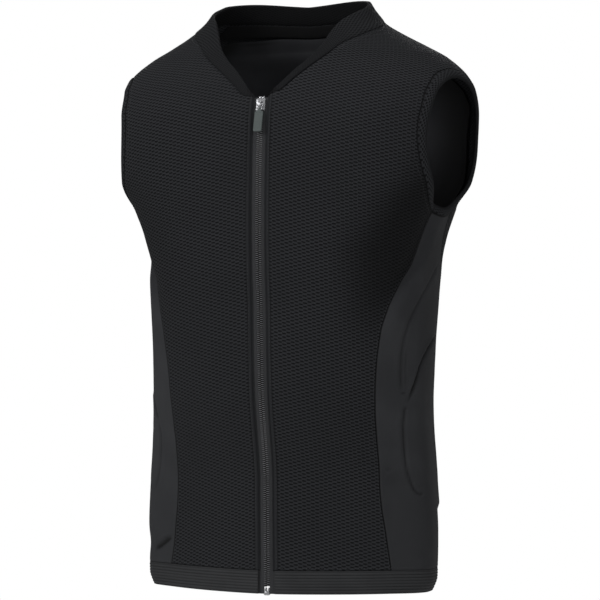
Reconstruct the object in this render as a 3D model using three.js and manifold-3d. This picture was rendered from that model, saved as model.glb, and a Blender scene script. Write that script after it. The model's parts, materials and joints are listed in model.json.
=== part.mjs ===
// A sleeveless back protector vest of black mesh cloth, worn over the trunk and zipped up the front.
// Millimetres, +Z up. The wearer faces -Y, so their left is +X, and the origin lies on the body's axis
// level with the neck seam on the shoulders, where the vest rests on its wearer.
import * as THREE from 'three';
import Module from 'manifold-3d';
import { mergeVertices } from 'three/addons/utils/BufferGeometryUtils.js';

const wasm = await Module();
wasm.setup();

// Sizes of the whole vest
const bodyHeight = 585; // hem's lower edge to the neck seam on the shoulders
const chestHalfWidth = 192.5;
const frontDepth = 111; // from the body's widest line to the chest
const backDepth = 112; // from the body's widest line to the shoulder blades

// Walls of the cloth pieces
const meshWall = 2.6;
const sideWall = 1.6;
const hemWall = 2.8;
const hemRoll = 0.3; // how far the hem's middle stands out of its edges
const collarWall = 3.2;
const collarRoll = 1.5; // how far the collar's middle stands out of its edges
const bindingWall = 2.4;
const bindingRoll = 1.1;
const bindingTuck = 1.5; // how far the binding's inner edge turns in
const facingWall = 1;
const liningWall = 1.2;
const seamGap = 0.4; // clearance between two cloth pieces at their seam
const layerGap = 0.4; // clearance between two cloth pieces that lie on each other

// Hem, armholes and neck
const hemHeight = 23.5;
const armholeHalfWidth = 65;
const armholeHalfHeight = 75;
const armholeCentre = 458; // above the hem's lower edge
const armholeForward = 9; // the armhole's centre ahead of the shoulder line
const armpitFrontAngle = 171; // where the side panel's front seam meets the armhole, from its top
const armpitBackAngle = 200;
const bindingWidth = 8;
const facingHeight = 15.5;
const facingSeat = 1.8; // clearance of the facing from the back panel
const facingTurn = 112; // degrees from the centre front where the neck facing starts

// Protector pad in its pocket on the back
const padSideRise = 1.5; // how far it pushes the cloth out over the flanks
const padBackRise = 9;
const padSideSink = 3.5; // how far it reaches in from the cloth's own line
const padBackSink = 6;
const padClearance = 3.6;
const padEdgeBlend = 9; // degrees of turn either side of its edge over which it thins
const padEndBlend = 28; // the same at its two ends, in millimetres
const liningSeat = 1.5; // clearance of the lining's border from the cloth that it is sewn to
const liningLead = 18; // degrees ahead of the pad's edge where the lining starts to lift
const liningMargin = 8; // degrees from the armhole to the lining's edge
const liningDrop = 17.5; // how far the lining's top edge falls from the middle to its ends
const liningEndTurn = 110; // degrees from the centre front where that edge ends

// Zip
const tapeShown = 9; // from the centre to the mesh's edge
const tapeHalfWidth = 15;
const tapeWall = 0.8;
const chainHalfWidth = 3;
const chainWall = 2.8;
const chainFit = 0.3; // clearance between the chain and what lies beside it
const sliderHeight = 495.2; // of its middle above the hem's lower edge
const sliderLength = 13;
const sliderHalfWidth = 4.8;
const sliderPlate = 1.3;
const sliderFit = 0.4; // clearance of the slider round the chain
const postLength = 3; // of the post that joins the slider's plates
const stopHeight = 2.4;
const boxHeight = 8;
const boxDrop = 1.5; // how far the box reaches below the hem
const boxWall = 4.4;
const pinWidth = 2.1;

// Slider's bridge and its pull
const bridgeHalfWidth = 1.5;
const bridgeLength = 7.2;
const bridgeWall = 1;
const linkRadius = 0.55;
const linkFit = 0.3; // clearance of the link in the bridge and in the tab
const linkReach = 6.4; // from the hinge to the link's lower bar
const bridgeSlot = 3.2;
const tabLength = 25;
const tabHalfWidth = 4.5;
const tabWall = 2.2;
const tabHeadHalfWidth = 1.9;
const tabHead = 3.6; // from the tab's top to its shoulders
const tabCorner = 1.4;

// How finely the curved pieces are cut
const seamRows = 12;
const arcRows = 9;
const neckColumns = 7;
const neckCrowding = 1.5; // above 1 the columns stand closer together towards the zip
const ridgeColumns = 4;
const sideColumns = 8;
const backNeckColumns = 8;
const zipRows = 18;
const padColumns = 8;
const borderColumns = 2;
const padRows = 17;

// Sections of the body. at: share of bodyHeight; width, front and back: shares of chestHalfWidth,
// frontDepth and backDepth; centre: how far the widest line lies behind the axis, as a share of
// backDepth; frontSquare and backSquare: the superellipse's power, 2 being an ellipse
const sections = [
  { at: 0.000, width: 0.779, front: 0.685, back: 0.866, centre: -0.054, frontSquare: 1.5, backSquare: 2.2 },
  { at: 0.024, width: 0.804, front: 0.685, back: 0.884, centre: -0.054, frontSquare: 1.45, backSquare: 2.2 },
  { at: 0.103, width: 0.808, front: 0.685, back: 0.920, centre: -0.062, frontSquare: 1.35, backSquare: 2.2 },
  { at: 0.191, width: 0.794, front: 0.676, back: 0.964, centre: -0.080, frontSquare: 1.4, backSquare: 2.2 },
  { at: 0.333, width: 0.768, front: 0.811, back: 0.946, centre: -0.071, frontSquare: 1.85, backSquare: 2.2 },
  { at: 0.419, width: 0.773, front: 0.883, back: 0.938, centre: -0.036, frontSquare: 2.05, backSquare: 2.2 },
  { at: 0.509, width: 0.779, front: 0.955, back: 0.920, centre: 0.018, frontSquare: 2.4, backSquare: 2.3 },
  { at: 0.573, width: 0.790, front: 1.000, back: 0.902, centre: 0.036, frontSquare: 2.45, backSquare: 2.4 },
  { at: 0.615, width: 0.814, front: 0.990, back: 0.929, centre: 0.018, frontSquare: 2.5, backSquare: 2.4 },
  { at: 0.672, width: 0.880, front: 0.990, back: 0.964, centre: 0.018, frontSquare: 2.6, backSquare: 2.6 },
  { at: 0.718, width: 0.958, front: 0.991, back: 0.982, centre: 0.027, frontSquare: 2.7, backSquare: 2.9 },
  { at: 0.776, width: 0.992, front: 0.982, back: 0.946, centre: 0.036, frontSquare: 2.7, backSquare: 3.0 },
  { at: 0.834, width: 1.000, front: 0.964, back: 0.875, centre: 0.054, frontSquare: 2.6, backSquare: 3.0 },
  { at: 0.880, width: 0.982, front: 0.928, back: 0.750, centre: 0.098, frontSquare: 2.4, backSquare: 2.9 },
  { at: 0.903, width: 0.945, front: 0.919, back: 0.634, centre: 0.152, frontSquare: 2.3, backSquare: 2.7 },
  { at: 0.937, width: 0.829, front: 0.901, back: 0.473, centre: 0.223, frontSquare: 2.3, backSquare: 2.4 },
  { at: 0.957, width: 0.719, front: 0.865, back: 0.411, centre: 0.232, frontSquare: 2.3, backSquare: 2.3 },
  { at: 0.979, width: 0.593, front: 0.766, back: 0.420, centre: 0.179, frontSquare: 2.3, backSquare: 2.3 },
  { at: 1.000, width: 0.494, front: 0.667, back: 0.429, centre: 0.125, frontSquare: 2.3, backSquare: 2.3 },
  { at: 1.026, width: 0.432, front: 0.541, back: 0.429, centre: 0.062, frontSquare: 2.3, backSquare: 2.3 },
  { at: 1.050, width: 0.400, front: 0.450, back: 0.411, centre: 0.036, frontSquare: 2.3, backSquare: 2.3 },
];

// Neck seam and the collar's rim. turn: degrees from the centre front; seam and rim: shares of bodyHeight
const neckRows = [
  { turn: 0, seam: 0.860, rim: 0.870 },
  { turn: 5, seam: 0.862, rim: 0.882 },
  { turn: 10, seam: 0.885, rim: 0.908 },
  { turn: 14, seam: 0.902, rim: 0.924 },
  { turn: 21, seam: 0.925, rim: 0.950 },
  { turn: 31, seam: 0.952, rim: 0.978 },
  { turn: 43, seam: 0.970, rim: 0.998 },
  { turn: 57, seam: 0.982, rim: 1.012 },
  { turn: 71, seam: 0.990, rim: 1.021 },
  { turn: 90, seam: 1.000, rim: 1.031 },
  { turn: 109, seam: 1.010, rim: 1.039 },
  { turn: 140, seam: 1.012, rim: 1.044 },
  { turn: 180, seam: 1.007, rim: 1.038 },
];

// Seams of the side panels. at: share of the seam's height, from the hem's lower edge to the armpit;
// front and back: degrees of turn. Both end where the armhole stands.
const sideSeamRows = [
  { at: 0.00, front: 61, back: 117 },
  { at: 0.06, front: 60.6, back: 117 },
  { at: 0.13, front: 59.5, back: 118 },
  { at: 0.24, front: 56.3, back: 119 },
  { at: 0.33, front: 54.9, back: 120 },
  { at: 0.42, front: 52, back: 121 },
  { at: 0.49, front: 50.4, back: 122 },
  { at: 0.60, front: 49.2, back: 122 },
  { at: 0.69, front: 49, back: 121 },
  { at: 0.75, front: 51, back: 119 },
  { at: 0.82, front: 58.5, back: 114 },
  { at: 0.88, front: 69, back: 107 },
];

// Edge of the pad. at: share of bodyHeight; turn: degrees from the centre front
const padRowTable = [
  { at: 0.090, turn: 146 },
  { at: 0.135, turn: 118 },
  { at: 0.170, turn: 92 },
  { at: 0.197, turn: 74 },
  { at: 0.241, turn: 68.8 },
  { at: 0.292, turn: 67.3 },
  { at: 0.345, turn: 65 },
  { at: 0.388, turn: 63.1 },
  { at: 0.458, turn: 63 },
  { at: 0.509, turn: 68.5 },
  { at: 0.547, turn: 80 },
  { at: 0.590, turn: 99 },
  { at: 0.645, turn: 113 },
  { at: 0.718, turn: 123 },
  { at: 0.803, turn: 129 },
  { at: 0.889, turn: 136 },
  { at: 0.945, turn: 150 },
];

// Edge of the lining where the armhole sets none. at: share of the armpit's height; turn: degrees
const liningRows = [
  { at: 0.00, turn: 70 },
  { at: 0.16, turn: 66 },
  { at: 0.31, turn: 59 },
  { at: 0.52, turn: 54 },
  { at: 0.70, turn: 54 },
  { at: 0.78, turn: 60 },
  { at: 0.88, turn: 80 },
  { at: 0.97, turn: 101 },
  { at: 1.00, turn: 105 },
  { at: 1.30, turn: 122 },
  { at: 1.42, turn: 129 },
];

// Soft dents and swells of the cloth. turn in degrees, at as a share of bodyHeight, wide and tall as
// shares of chestHalfWidth, and rise as a share of frontDepth, below nought for a dent
const dents = [
  { turn: 52, at: 0.690, wide: 0.16, tall: 0.20, rise: -0.030 },
  { turn: -52, at: 0.690, wide: 0.14, tall: 0.20, rise: -0.024 },
  { turn: 30, at: 0.800, wide: 0.22, tall: 0.18, rise: 0.018 },
  { turn: -30, at: 0.800, wide: 0.22, tall: 0.18, rise: 0.018 },
  { turn: 70, at: 0.190, wide: 0.12, tall: 0.05, rise: -0.018 },
  { turn: -76, at: 0.075, wide: 0.12, tall: 0.06, rise: -0.018 },
  { turn: 180, at: 0.600, wide: 0.06, tall: 0.90, rise: -0.045 },
];

const degree = Math.PI / 180;
const levelOf = height => height / bodyHeight;

// Monotone cubic through one column of a table, with flat ends beyond its rows
function smooth(rows, key, column, value) {
  const last = rows.length - 1;
  if (value <= rows[0][key]) return rows[0][column];
  if (value >= rows[last][key]) return rows[last][column];
  let k = 0;
  while (rows[k + 1][key] < value) k += 1;
  const width = i => rows[i + 1][key] - rows[i][key];
  const slope = i => (rows[i + 1][column] - rows[i][column]) / width(i);
  const tangent = i => {
    if (i === 0) return slope(0);
    if (i === last) return slope(last - 1);
    if (slope(i - 1) * slope(i) <= 0) return 0;
    const before = 2 * width(i) + width(i - 1);
    const after = width(i) + 2 * width(i - 1);
    return (before + after) / (before / slope(i - 1) + after / slope(i));
  };
  const w = width(k);
  const t = (value - rows[k][key]) / w;
  const rise = t * t * (3 - 2 * t);
  return rows[k][column] * (1 - rise) + rows[k + 1][column] * rise
    + w * t * (1 - t) * ((1 - t) * tangent(k) - t * tangent(k + 1));
}

function sectionAt(at) {
  return {
    width: chestHalfWidth * smooth(sections, 'at', 'width', at),
    front: frontDepth * smooth(sections, 'at', 'front', at),
    back: backDepth * smooth(sections, 'at', 'back', at),
    centre: backDepth * smooth(sections, 'at', 'centre', at),
    frontSquare: smooth(sections, 'at', 'frontSquare', at),
    backSquare: smooth(sections, 'at', 'backSquare', at),
  };
}

// A point of the body: turn is in degrees from the centre front towards the wearer's left
function bodyPoint(turn, at, section = sectionAt(at)) {
  const sine = Math.sin(turn * degree);
  const cosine = Math.cos(turn * degree);
  const side = THREE.MathUtils.smoothstep(Math.abs(turn), 60, 100);
  const square = THREE.MathUtils.lerp(section.frontSquare, section.backSquare, side);
  const reach = (Math.abs(sine) ** square + Math.abs(cosine) ** square) ** (-1 / square);
  const depth = cosine > 0 ? section.front : section.back;
  const y = section.centre - depth * reach * cosine;
  return new THREE.Vector3(section.width * reach * sine, y, (at - 1) * bodyHeight);
}

function outward(turn, at) {
  const step = 0.4;
  const rise = 0.002;
  const across = bodyPoint(turn + step, at).sub(bodyPoint(turn - step, at));
  const up = bodyPoint(turn, at + rise).sub(bodyPoint(turn, at - rise));
  return across.cross(up).normalize();
}

// The turn at which a section reaches the given depth y
function turnAtDepth(y, at) {
  const section = sectionAt(at);
  let low = 0;
  let high = 180;
  for (let i = 0; i < 40; i += 1) {
    const middle = (low + high) / 2;
    if (bodyPoint(middle, at, section).y < y) low = middle;
    else high = middle;
  }
  return (low + high) / 2;
}

// The turn at which the front of a section is x away from the zip's middle
function turnAtSide(x, at) {
  const section = sectionAt(at);
  const share = Math.abs(x) / section.width;
  const other = (1 - share ** section.frontSquare) ** (1 / section.frontSquare);
  return Math.sign(x) * Math.atan2(share, other) / degree;
}

const neckSeam = turn => smooth(neckRows, 'turn', 'seam', Math.abs(turn));
const collarRim = turn => smooth(neckRows, 'turn', 'rim', Math.abs(turn));

// The armhole is an oval seen from the side; angle runs from its top forwards, inset narrows it
function armholePlace(angle, inset = 0) {
  const y = -armholeForward - (armholeHalfWidth - inset) * Math.sin(angle * degree);
  const at = levelOf(armholeCentre + (armholeHalfHeight - inset) * Math.cos(angle * degree));
  return { turn: turnAtDepth(y, at), at };
}

// The armhole's angle where it meets the body's widest line on the shoulder
function findTipAngle() {
  let low = -90;
  let high = 45;
  for (let i = 0; i < 40; i += 1) {
    const middle = (low + high) / 2;
    if (armholePlace(middle).turn > 90) low = middle;
    else high = middle;
  }
  return (low + high) / 2;
}

const armpitFront = armholePlace(armpitFrontAngle);
const armpitBack = armholePlace(armpitBackAngle);
const shoulderTipAngle = findTipAngle();
const frontSeamRows = [...sideSeamRows, { at: 1, front: armpitFront.turn, back: armpitBack.turn }];

const sideSeam = (side, at) => {
  const top = side === 'front' ? armpitFront.at : armpitBack.at;
  return smooth(frontSeamRows, 'at', side, at / top);
};

// The turn of the armhole's rear edge at one height, or 90 degrees above and below it
function armholeBack(at) {
  const share = (at * bodyHeight - armholeCentre) / armholeHalfHeight;
  if (Math.abs(share) >= 1) return 90;
  return turnAtDepth(-armholeForward + armholeHalfWidth * Math.sqrt(1 - share * share), at);
}

function liningEdge(at) {
  const below = smooth(liningRows, 'at', 'turn', at / armpitBack.at);
  return Math.max(below, armholeBack(at) + liningMargin);
}

const padEdge = at => Math.max(smooth(padRowTable, 'at', 'turn', at), liningEdge(at) + liningMargin);
const padBottom = padRowTable[0].at;
const padTop = padRowTable[padRowTable.length - 1].at;

// 1 well inside the pad's outline and 0 outside; lead starts the slope further out
function padCover(turn, at, lead) {
  const inside = Math.abs(turn) - padEdge(at);
  const end = levelOf(padEndBlend) * lead / padEdgeBlend;
  const across = THREE.MathUtils.smoothstep(inside, -lead, 2 * padEdgeBlend - lead);
  const low = THREE.MathUtils.smoothstep(at - padBottom, -end, 2 * levelOf(padEndBlend) - end);
  const high = THREE.MathUtils.smoothstep(padTop - at, -end, 2 * levelOf(padEndBlend) - end);
  return across * low * high;
}

const backShare = turn => THREE.MathUtils.smoothstep(Math.abs(turn), 95, 140);
const padRise = turn => THREE.MathUtils.lerp(padSideRise, padBackRise, backShare(turn));
const padSink = turn => THREE.MathUtils.lerp(padSideSink, padBackSink, backShare(turn));

function dentAt(turn, at) {
  const here = bodyPoint(turn, at);
  let total = 0;
  for (const dent of dents) {
    const away = here.clone().sub(bodyPoint(dent.turn, dent.at));
    const across = Math.hypot(away.x, away.y) / (dent.wide * chestHalfWidth);
    const up = away.z / (dent.tall * chestHalfWidth);
    total += dent.rise * frontDepth * Math.exp(-across * across - up * up);
  }
  return total;
}

// Where a cloth layer lies: depth is measured inwards from the vest's outside
function clothPoint(turn, at, depth) {
  const lift = padRise(turn) * padCover(turn, at, padEdgeBlend) + dentAt(turn, at) - depth;
  return bodyPoint(turn, at).addScaledVector(outward(turn, at), lift);
}

const steps = (from, to, count) => Array.from({ length: count + 1 }, (_, i) => from + (to - from) * i / count);
const mirrorPlaces = grid => grid.map(row => row.map(({ turn, at }) => ({ turn: -turn, at })).reverse());

// Shares of the way along a line of points at which each of them lies
function sharesAlong(points) {
  const run = [0];
  for (let i = 1; i < points.length; i += 1) run.push(run[i - 1] + points[i].distanceTo(points[i - 1]));
  return run.map(value => value / run[run.length - 1]);
}

// Fills a four-sided panel from its edges: a Coons patch in space, laid back onto the body.
// inner and outer run upwards, lower and upper run from inner to outer.
function fillPanel({ inner, outer, lower, upper }) {
  const points = edge => edge.map(({ turn, at }) => bodyPoint(turn, at));
  const [left, right, base, top] = [inner, outer, lower, upper].map(points);
  const average = (one, two) => one.map((value, i) => (value + two[i]) / 2);
  const us = average(sharesAlong(base), sharesAlong(top));
  const vs = average(sharesAlong(left), sharesAlong(right));
  const across = us.length - 1;
  const up = vs.length - 1;
  return vs.map((v, j) => us.map((u, i) => {
    if (j === 0) return lower[i];
    if (j === up) return upper[i];
    if (i === 0) return inner[j];
    if (i === across) return outer[j];
    const point = new THREE.Vector3()
      .addScaledVector(left[j], 1 - u).addScaledVector(right[j], u)
      .addScaledVector(base[i], 1 - v).addScaledVector(top[i], v)
      .addScaledVector(base[0], -(1 - u) * (1 - v)).addScaledVector(base[across], -u * (1 - v))
      .addScaledVector(top[0], -(1 - u) * v).addScaledVector(top[across], -u * v);
    const at = point.z / bodyHeight + 1;
    const { width, front, back, centre } = sectionAt(at);
    const ahead = centre - point.y;
    return { turn: Math.atan2(point.x / width, ahead / (ahead > 0 ? front : back)) / degree, at };
  }));
}

// Closes a shell between two grids of points; loop joins the last column to the first
function closeWall(outer, inner, loop = false) {
  const rows = outer.length;
  const columns = outer[0].length;
  const position = [];
  for (const grid of [outer, inner]) {
    for (const row of grid) {
      for (const point of row) position.push(point.x, point.y, point.z);
    }
  }
  const index = [];
  const place = (layer, j, i) => (layer * rows + j) * columns + i % columns;
  const quad = (a, b, c, d) => index.push(a, b, c, a, c, d);
  const spans = loop ? columns : columns - 1;
  for (let j = 0; j < rows - 1; j += 1) {
    for (let i = 0; i < spans; i += 1) {
      quad(place(0, j, i), place(0, j, i + 1), place(0, j + 1, i + 1), place(0, j + 1, i));
      quad(place(1, j, i), place(1, j + 1, i), place(1, j + 1, i + 1), place(1, j, i + 1));
    }
  }
  for (let i = 0; i < spans; i += 1) {
    quad(place(0, 0, i), place(1, 0, i), place(1, 0, i + 1), place(0, 0, i + 1));
    quad(place(0, rows - 1, i), place(0, rows - 1, i + 1), place(1, rows - 1, i + 1), place(1, rows - 1, i));
  }
  for (let j = 0; j < rows - 1 && !loop; j += 1) {
    quad(place(0, j, 0), place(0, j + 1, 0), place(1, j + 1, 0), place(1, j, 0));
    quad(place(0, j, spans), place(1, j, spans), place(1, j + 1, spans), place(0, j + 1, spans));
  }
  const geometry = new THREE.BufferGeometry();
  geometry.setAttribute('position', new THREE.Float32BufferAttribute(position, 3));
  geometry.setIndex(index);
  return faceOutwards(geometry);
}

function faceOutwards(geometry) {
  const position = geometry.getAttribute('position');
  const index = geometry.getIndex().array;
  const corner = [0, 1, 2].map(() => new THREE.Vector3());
  let volume = 0;
  for (let i = 0; i < index.length; i += 3) {
    corner.forEach((point, k) => point.fromBufferAttribute(position, index[i + k]));
    volume += corner[0].dot(corner[1].clone().cross(corner[2]));
  }
  if (volume < 0) geometry.setIndex(Array.from(index).reverse());
  geometry.computeVertexNormals();
  return geometry;
}

const shifted = (point, towards, amount) =>
  point.clone().addScaledVector(towards.clone().sub(point).normalize(), amount);

// Draws the named borders of a grid of points in by the given amounts
function drawIn(grid, { left = 0, right = 0, bottom = 0, top = 0 }) {
  const columns = grid[0].length - 1;
  const rows = grid.length - 1;
  const narrowed = grid.map(row => row.map((point, i) => {
    if (i === 0) return shifted(point, row[1], left);
    if (i === columns) return shifted(point, row[columns - 1], right);
    return point;
  }));
  return narrowed.map((row, j) => row.map((point, i) => {
    if (j === 0) return shifted(point, narrowed[1][i], bottom);
    if (j === rows) return shifted(point, narrowed[rows - 1][i], top);
    return point;
  }));
}

// A cloth wall over a grid of places; roll lifts its middle rows out, and tuck turns its last row in
function clothWall(places, wall, { depth = 0, roll = 0, tuck = 0, borders = {}, loop = false } = {}) {
  const last = places.length - 1;
  const layer = extra => places.map((row, j) => {
    const lift = (j > 0 && j < last ? roll : 0) - tuck * (j / last) ** 2;
    return row.map(({ turn, at }) => clothPoint(turn, at, depth + extra - lift));
  });
  return closeWall(drawIn(layer(0), borders), drawIn(layer(wall), borders), loop);
}

const group = new THREE.Group();

function addPiece(name, geometry, material, parent = group) {
  const mesh = new THREE.Mesh(geometry, material);
  mesh.name = name;
  parent.add(mesh);
  return mesh;
}

function clothMaterial(color, roughness) {
  return new THREE.MeshStandardMaterial({ color, roughness, metalness: 0, side: THREE.DoubleSide });
}

const meshCloth = clothMaterial(0x202123, 0.85);
const sideCloth = clothMaterial(0x2e3032, 0.75);
const ribCloth = clothMaterial(0x2a2b2d, 0.8);
const tapeCloth = clothMaterial(0x343537, 0.75);
const innerCloth = clothMaterial(0x141516, 0.8);
const padFoam = clothMaterial(0x3a3c3e, 0.9);
const silver = new THREE.MeshStandardMaterial({ color: 0xc8c9cb, roughness: 0.3, metalness: 1 });
const darkTeeth = new THREE.MeshStandardMaterial({ color: 0x1b1c1e, roughness: 0.4, metalness: 0.2 });
const tabRubber = new THREE.MeshStandardMaterial({ color: 0x373e3c, roughness: 0.6, metalness: 0 });

// Edges that the panels, hem, collar and bindings share
const hemTop = levelOf(hemHeight);
const frontAngles = steps(armpitFrontAngle, shoulderTipAngle, arcRows);
const backAngles = steps(armpitBackAngle, 360 + shoulderTipAngle, arcRows);
const bottomAngles = steps(armpitFrontAngle, armpitBackAngle, sideColumns);
const frontSeam = steps(hemTop, armpitFront.at, seamRows).map(at => ({ turn: sideSeam('front', at), at }));
const backSeam = steps(hemTop, armpitBack.at, seamRows).map(at => ({ turn: sideSeam('back', at), at }));
const frontNeckTurns = steps(0, 1, neckColumns).map(share => {
  const start = turnAtSide(tapeShown, neckSeam(0));
  return start + (90 - start) * share ** neckCrowding;
});
const backNeckTurns = steps(180, 90, backNeckColumns);
const shoulderTip = armholePlace(shoulderTipAngle);
const ridge = steps(neckSeam(90), shoulderTip.at, ridgeColumns).map(at => ({ turn: 90, at }));
const seamPlace = turn => ({ turn, at: neckSeam(turn) });

// A panel is filled in two parts, which meet on a line across the body at the armpit's height
function panelEdges(seam, angles, neckTurns, startTurn) {
  const arc = angles.map(angle => armholePlace(angle));
  arc[0] = seam[seamRows];
  arc[arcRows] = ridge[ridgeColumns];
  const upper = [...neckTurns.slice(0, -1).map(seamPlace), ...ridge];
  const along = edge => sharesAlong(edge.map(({ turn, at }) => bodyPoint(turn, at)));
  const armpit = seam[seamRows].at;
  const edgeUp = (edge, low, high) => along(edge).map(share => {
    const at = low + (high - low) * share;
    return { turn: startTurn(at), at };
  });
  const lineTo = (end, start) => along(upper).map(share => ({
    turn: start.turn + (end.turn - start.turn) * share,
    at: start.at + (end.at - start.at) * share,
  }));
  const below = edgeUp(seam, hemTop, armpit);
  const above = edgeUp(arc, armpit, upper[0].at);
  above[arcRows] = upper[0];
  const lower = lineTo(seam[0], below[0]);
  const chest = lineTo(seam[seamRows], below[seamRows]);
  return [
    { inner: below, outer: seam, lower, upper: chest },
    { inner: above, outer: arc, lower: chest, upper },
  ];
}

const fillBoth = ([below, above]) => [...fillPanel(below), ...fillPanel(above).slice(1)];

const frontEdges = panelEdges(frontSeam, frontAngles, frontNeckTurns, at => turnAtSide(tapeShown, at));
const backEdges = panelEdges(backSeam, backAngles, backNeckTurns, () => 180);

function addFrontPanels() {
  const places = fillBoth(frontEdges);
  const half = seamGap / 2;
  addPiece('front_panel_left', clothWall(places, meshWall, { borders: { right: half, top: half } }), meshCloth);
  addPiece('front_panel_right',
    clothWall(mirrorPlaces(places), meshWall, { borders: { left: half, top: half } }), meshCloth);
}

function addBackPanel() {
  const half = fillBoth(backEdges);
  const places = half.map((row, j) => [...row.slice().reverse(), ...mirrorPlaces(half)[j].reverse().slice(1)]);
  const gap = seamGap / 2;
  addPiece('back_panel', clothWall(places, meshWall, { borders: { left: gap, right: gap, top: gap } }), meshCloth);
}

const sidePlaces = frontSeam.map((place, j) => steps(0, 1, sideColumns).map((share, i) => {
  if (j === seamRows) return armholePlace(bottomAngles[i]);
  const back = backSeam[j];
  return { turn: place.turn + (back.turn - place.turn) * share, at: place.at + (back.at - place.at) * share };
}));

function addSidePanels() {
  const gap = seamGap / 2;
  const borders = { left: gap, right: gap };
  addPiece('side_panel_left', clothWall(sidePlaces, sideWall, { borders }), sideCloth);
  addPiece('side_panel_right', clothWall(mirrorPlaces(sidePlaces), sideWall, { borders }), sideCloth);
}

function addHemBand() {
  const backTurns = backEdges[0].lower.map(({ turn }) => turn).reverse();
  const leftTurns = [
    ...frontEdges[0].lower.map(({ turn }) => turn),
    ...sidePlaces[0].map(({ turn }) => turn).slice(1),
    ...backTurns.slice(1),
  ];
  const turns = [...leftTurns, ...leftTurns.slice(0, -1).reverse().map(turn => -turn)];
  const places = [0, hemTop / 2, hemTop].map(at => turns.map(turn => ({ turn, at })));
  addPiece('hem_band', clothWall(places, hemWall, { roll: hemRoll, borders: { top: seamGap } }), ribCloth);
}

function addCollar() {
  const leftTurns = [...frontNeckTurns, ...backNeckTurns.slice().reverse().slice(1)];
  const turns = [...leftTurns, ...leftTurns.slice(0, -1).reverse().map(turn => -turn)];
  const places = [0, 0.5, 1].map(share => turns.map(turn => {
    const seam = neckSeam(turn);
    return { turn, at: seam + (collarRim(turn) - seam) * share };
  }));
  addPiece('collar', clothWall(places, collarWall, { roll: collarRoll, borders: { bottom: seamGap } }), meshCloth);
}

function addNeckFacing() {
  const leftTurns = steps(facingTurn, 180, backNeckColumns);
  const turns = [...leftTurns, ...leftTurns.slice(0, -1).reverse().map(turn => -turn)];
  const places = [1, 0.5, 0].map(share => turns.map(turn => ({
    turn,
    at: neckSeam(turn) - levelOf(seamGap + share * (facingHeight - seamGap)),
  })));
  addPiece('neck_facing', clothWall(places, facingWall, { depth: meshWall + facingSeat }), innerCloth);
}

function addArmholeBindings() {
  const angles = [...frontAngles.slice().reverse(), ...bottomAngles.slice(1), ...backAngles.slice(1, -1)];
  const places = [0, 0.5, 1].map(share => angles.map(angle => armholePlace(angle, share * bindingWidth)));
  for (const side of ['left', 'right']) {
    const grid = side === 'left' ? places : mirrorPlaces(places);
    const borders = { bottom: seamGap };
    const wall = clothWall(grid, bindingWall, { roll: bindingRoll, tuck: bindingTuck, loop: true, borders });
    addPiece(`armhole_binding_${side}`, wall, sideCloth);
  }
}

// Rows and columns that the pad and the lining behind it share, so that they lie parallel
const liningBottom = hemTop + levelOf(seamGap);
const padLevels = steps(padBottom, padTop, padRows);
const liningTop = share => neckSeam(180 + (liningEndTurn - 180) * share)
  - levelOf(facingHeight + seamGap + liningDrop * share);

function latticeTurn(column, at) {
  if (column <= padColumns) return 180 - (180 - padEdge(at)) * column / padColumns;
  return padEdge(at) + (liningEdge(at) - padEdge(at)) * (column - padColumns) / borderColumns;
}

function bothHalves(row) {
  const other = row.slice(1).map(({ turn, ...rest }) => ({ turn: -turn, ...rest }));
  return [...row.slice().reverse(), ...other];
}

function addProtectorPad() {
  const columns = steps(0, padColumns, padColumns);
  const places = padLevels.map(at => bothHalves(columns.map(column => ({ turn: latticeTurn(column, at), at }))));
  const outer = places.map(row => row.map(({ turn, at }) => clothPoint(turn, at, meshWall + padClearance)));
  const inner = places.map(row => row.map(({ turn, at }) => {
    const thick = (padRise(turn) + padSink(turn)) * padCover(turn, at, padEdgeBlend);
    return clothPoint(turn, at, meshWall + padClearance + thick);
  }));
  addPiece('protector_pad', closeWall(outer, inner), padFoam);
}

// The lining's depth: tight on the cloth at its border, and clear of the pad where that lies
function liningDepth(turn, at) {
  const lift = padCover(turn, at, liningLead);
  const pad = (padRise(turn) + padSink(turn)) * padCover(turn, at, padEdgeBlend);
  return meshWall + liningSeat + (padClearance + layerGap - liningSeat) * lift + pad;
}

function addBackLining() {
  const total = padColumns + borderColumns;
  const columns = steps(0, total, total);
  const place = (column, at) => ({ turn: latticeTurn(column, at), at });
  const rows = [liningBottom, ...padLevels].map(at => columns.map(column => place(column, at)));
  rows.push(columns.map(column => place(column, liningTop(column / total))));
  const places = rows.map(bothHalves);
  const layer = extra => places.map(row => row.map(({ turn, at }) =>
    clothPoint(turn, at, liningDepth(turn, at) + extra)));
  addPiece('back_lining', closeWall(layer(0), layer(liningWall)), innerCloth);
}

// The zip's line: tapes under the panels' edges, with the chain between them
const tapeDepth = meshWall + layerGap;
const chainMiddle = tapeDepth + tapeWall / 2;
const zipTop = neckSeam(0) + levelOf(seamGap);
const sliderLow = levelOf(sliderHeight - sliderLength / 2 - sliderFit);
const sliderHigh = levelOf(sliderHeight + sliderLength / 2 + sliderFit);

// A point beside the zip's middle, with its depth measured square to the zip
function zipPoint(x, at, depth) {
  return clothPoint(turnAtSide(x, at), at, 0).addScaledVector(outward(0, at), -depth);
}

// A strip along the zip that runs straight through the slider
function zipStrip(from, to, low, highs, depth, wall) {
  const columns = Math.max(1, Math.round(Math.abs(to - from) / (2 * chainHalfWidth)));
  const levels = [...steps(low, sliderLow, zipRows), ...highs];
  const layer = extra => levels.map(at => steps(from, to, columns).map(x => zipPoint(x, at, depth + extra)));
  return closeWall(layer(0), layer(wall));
}

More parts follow.
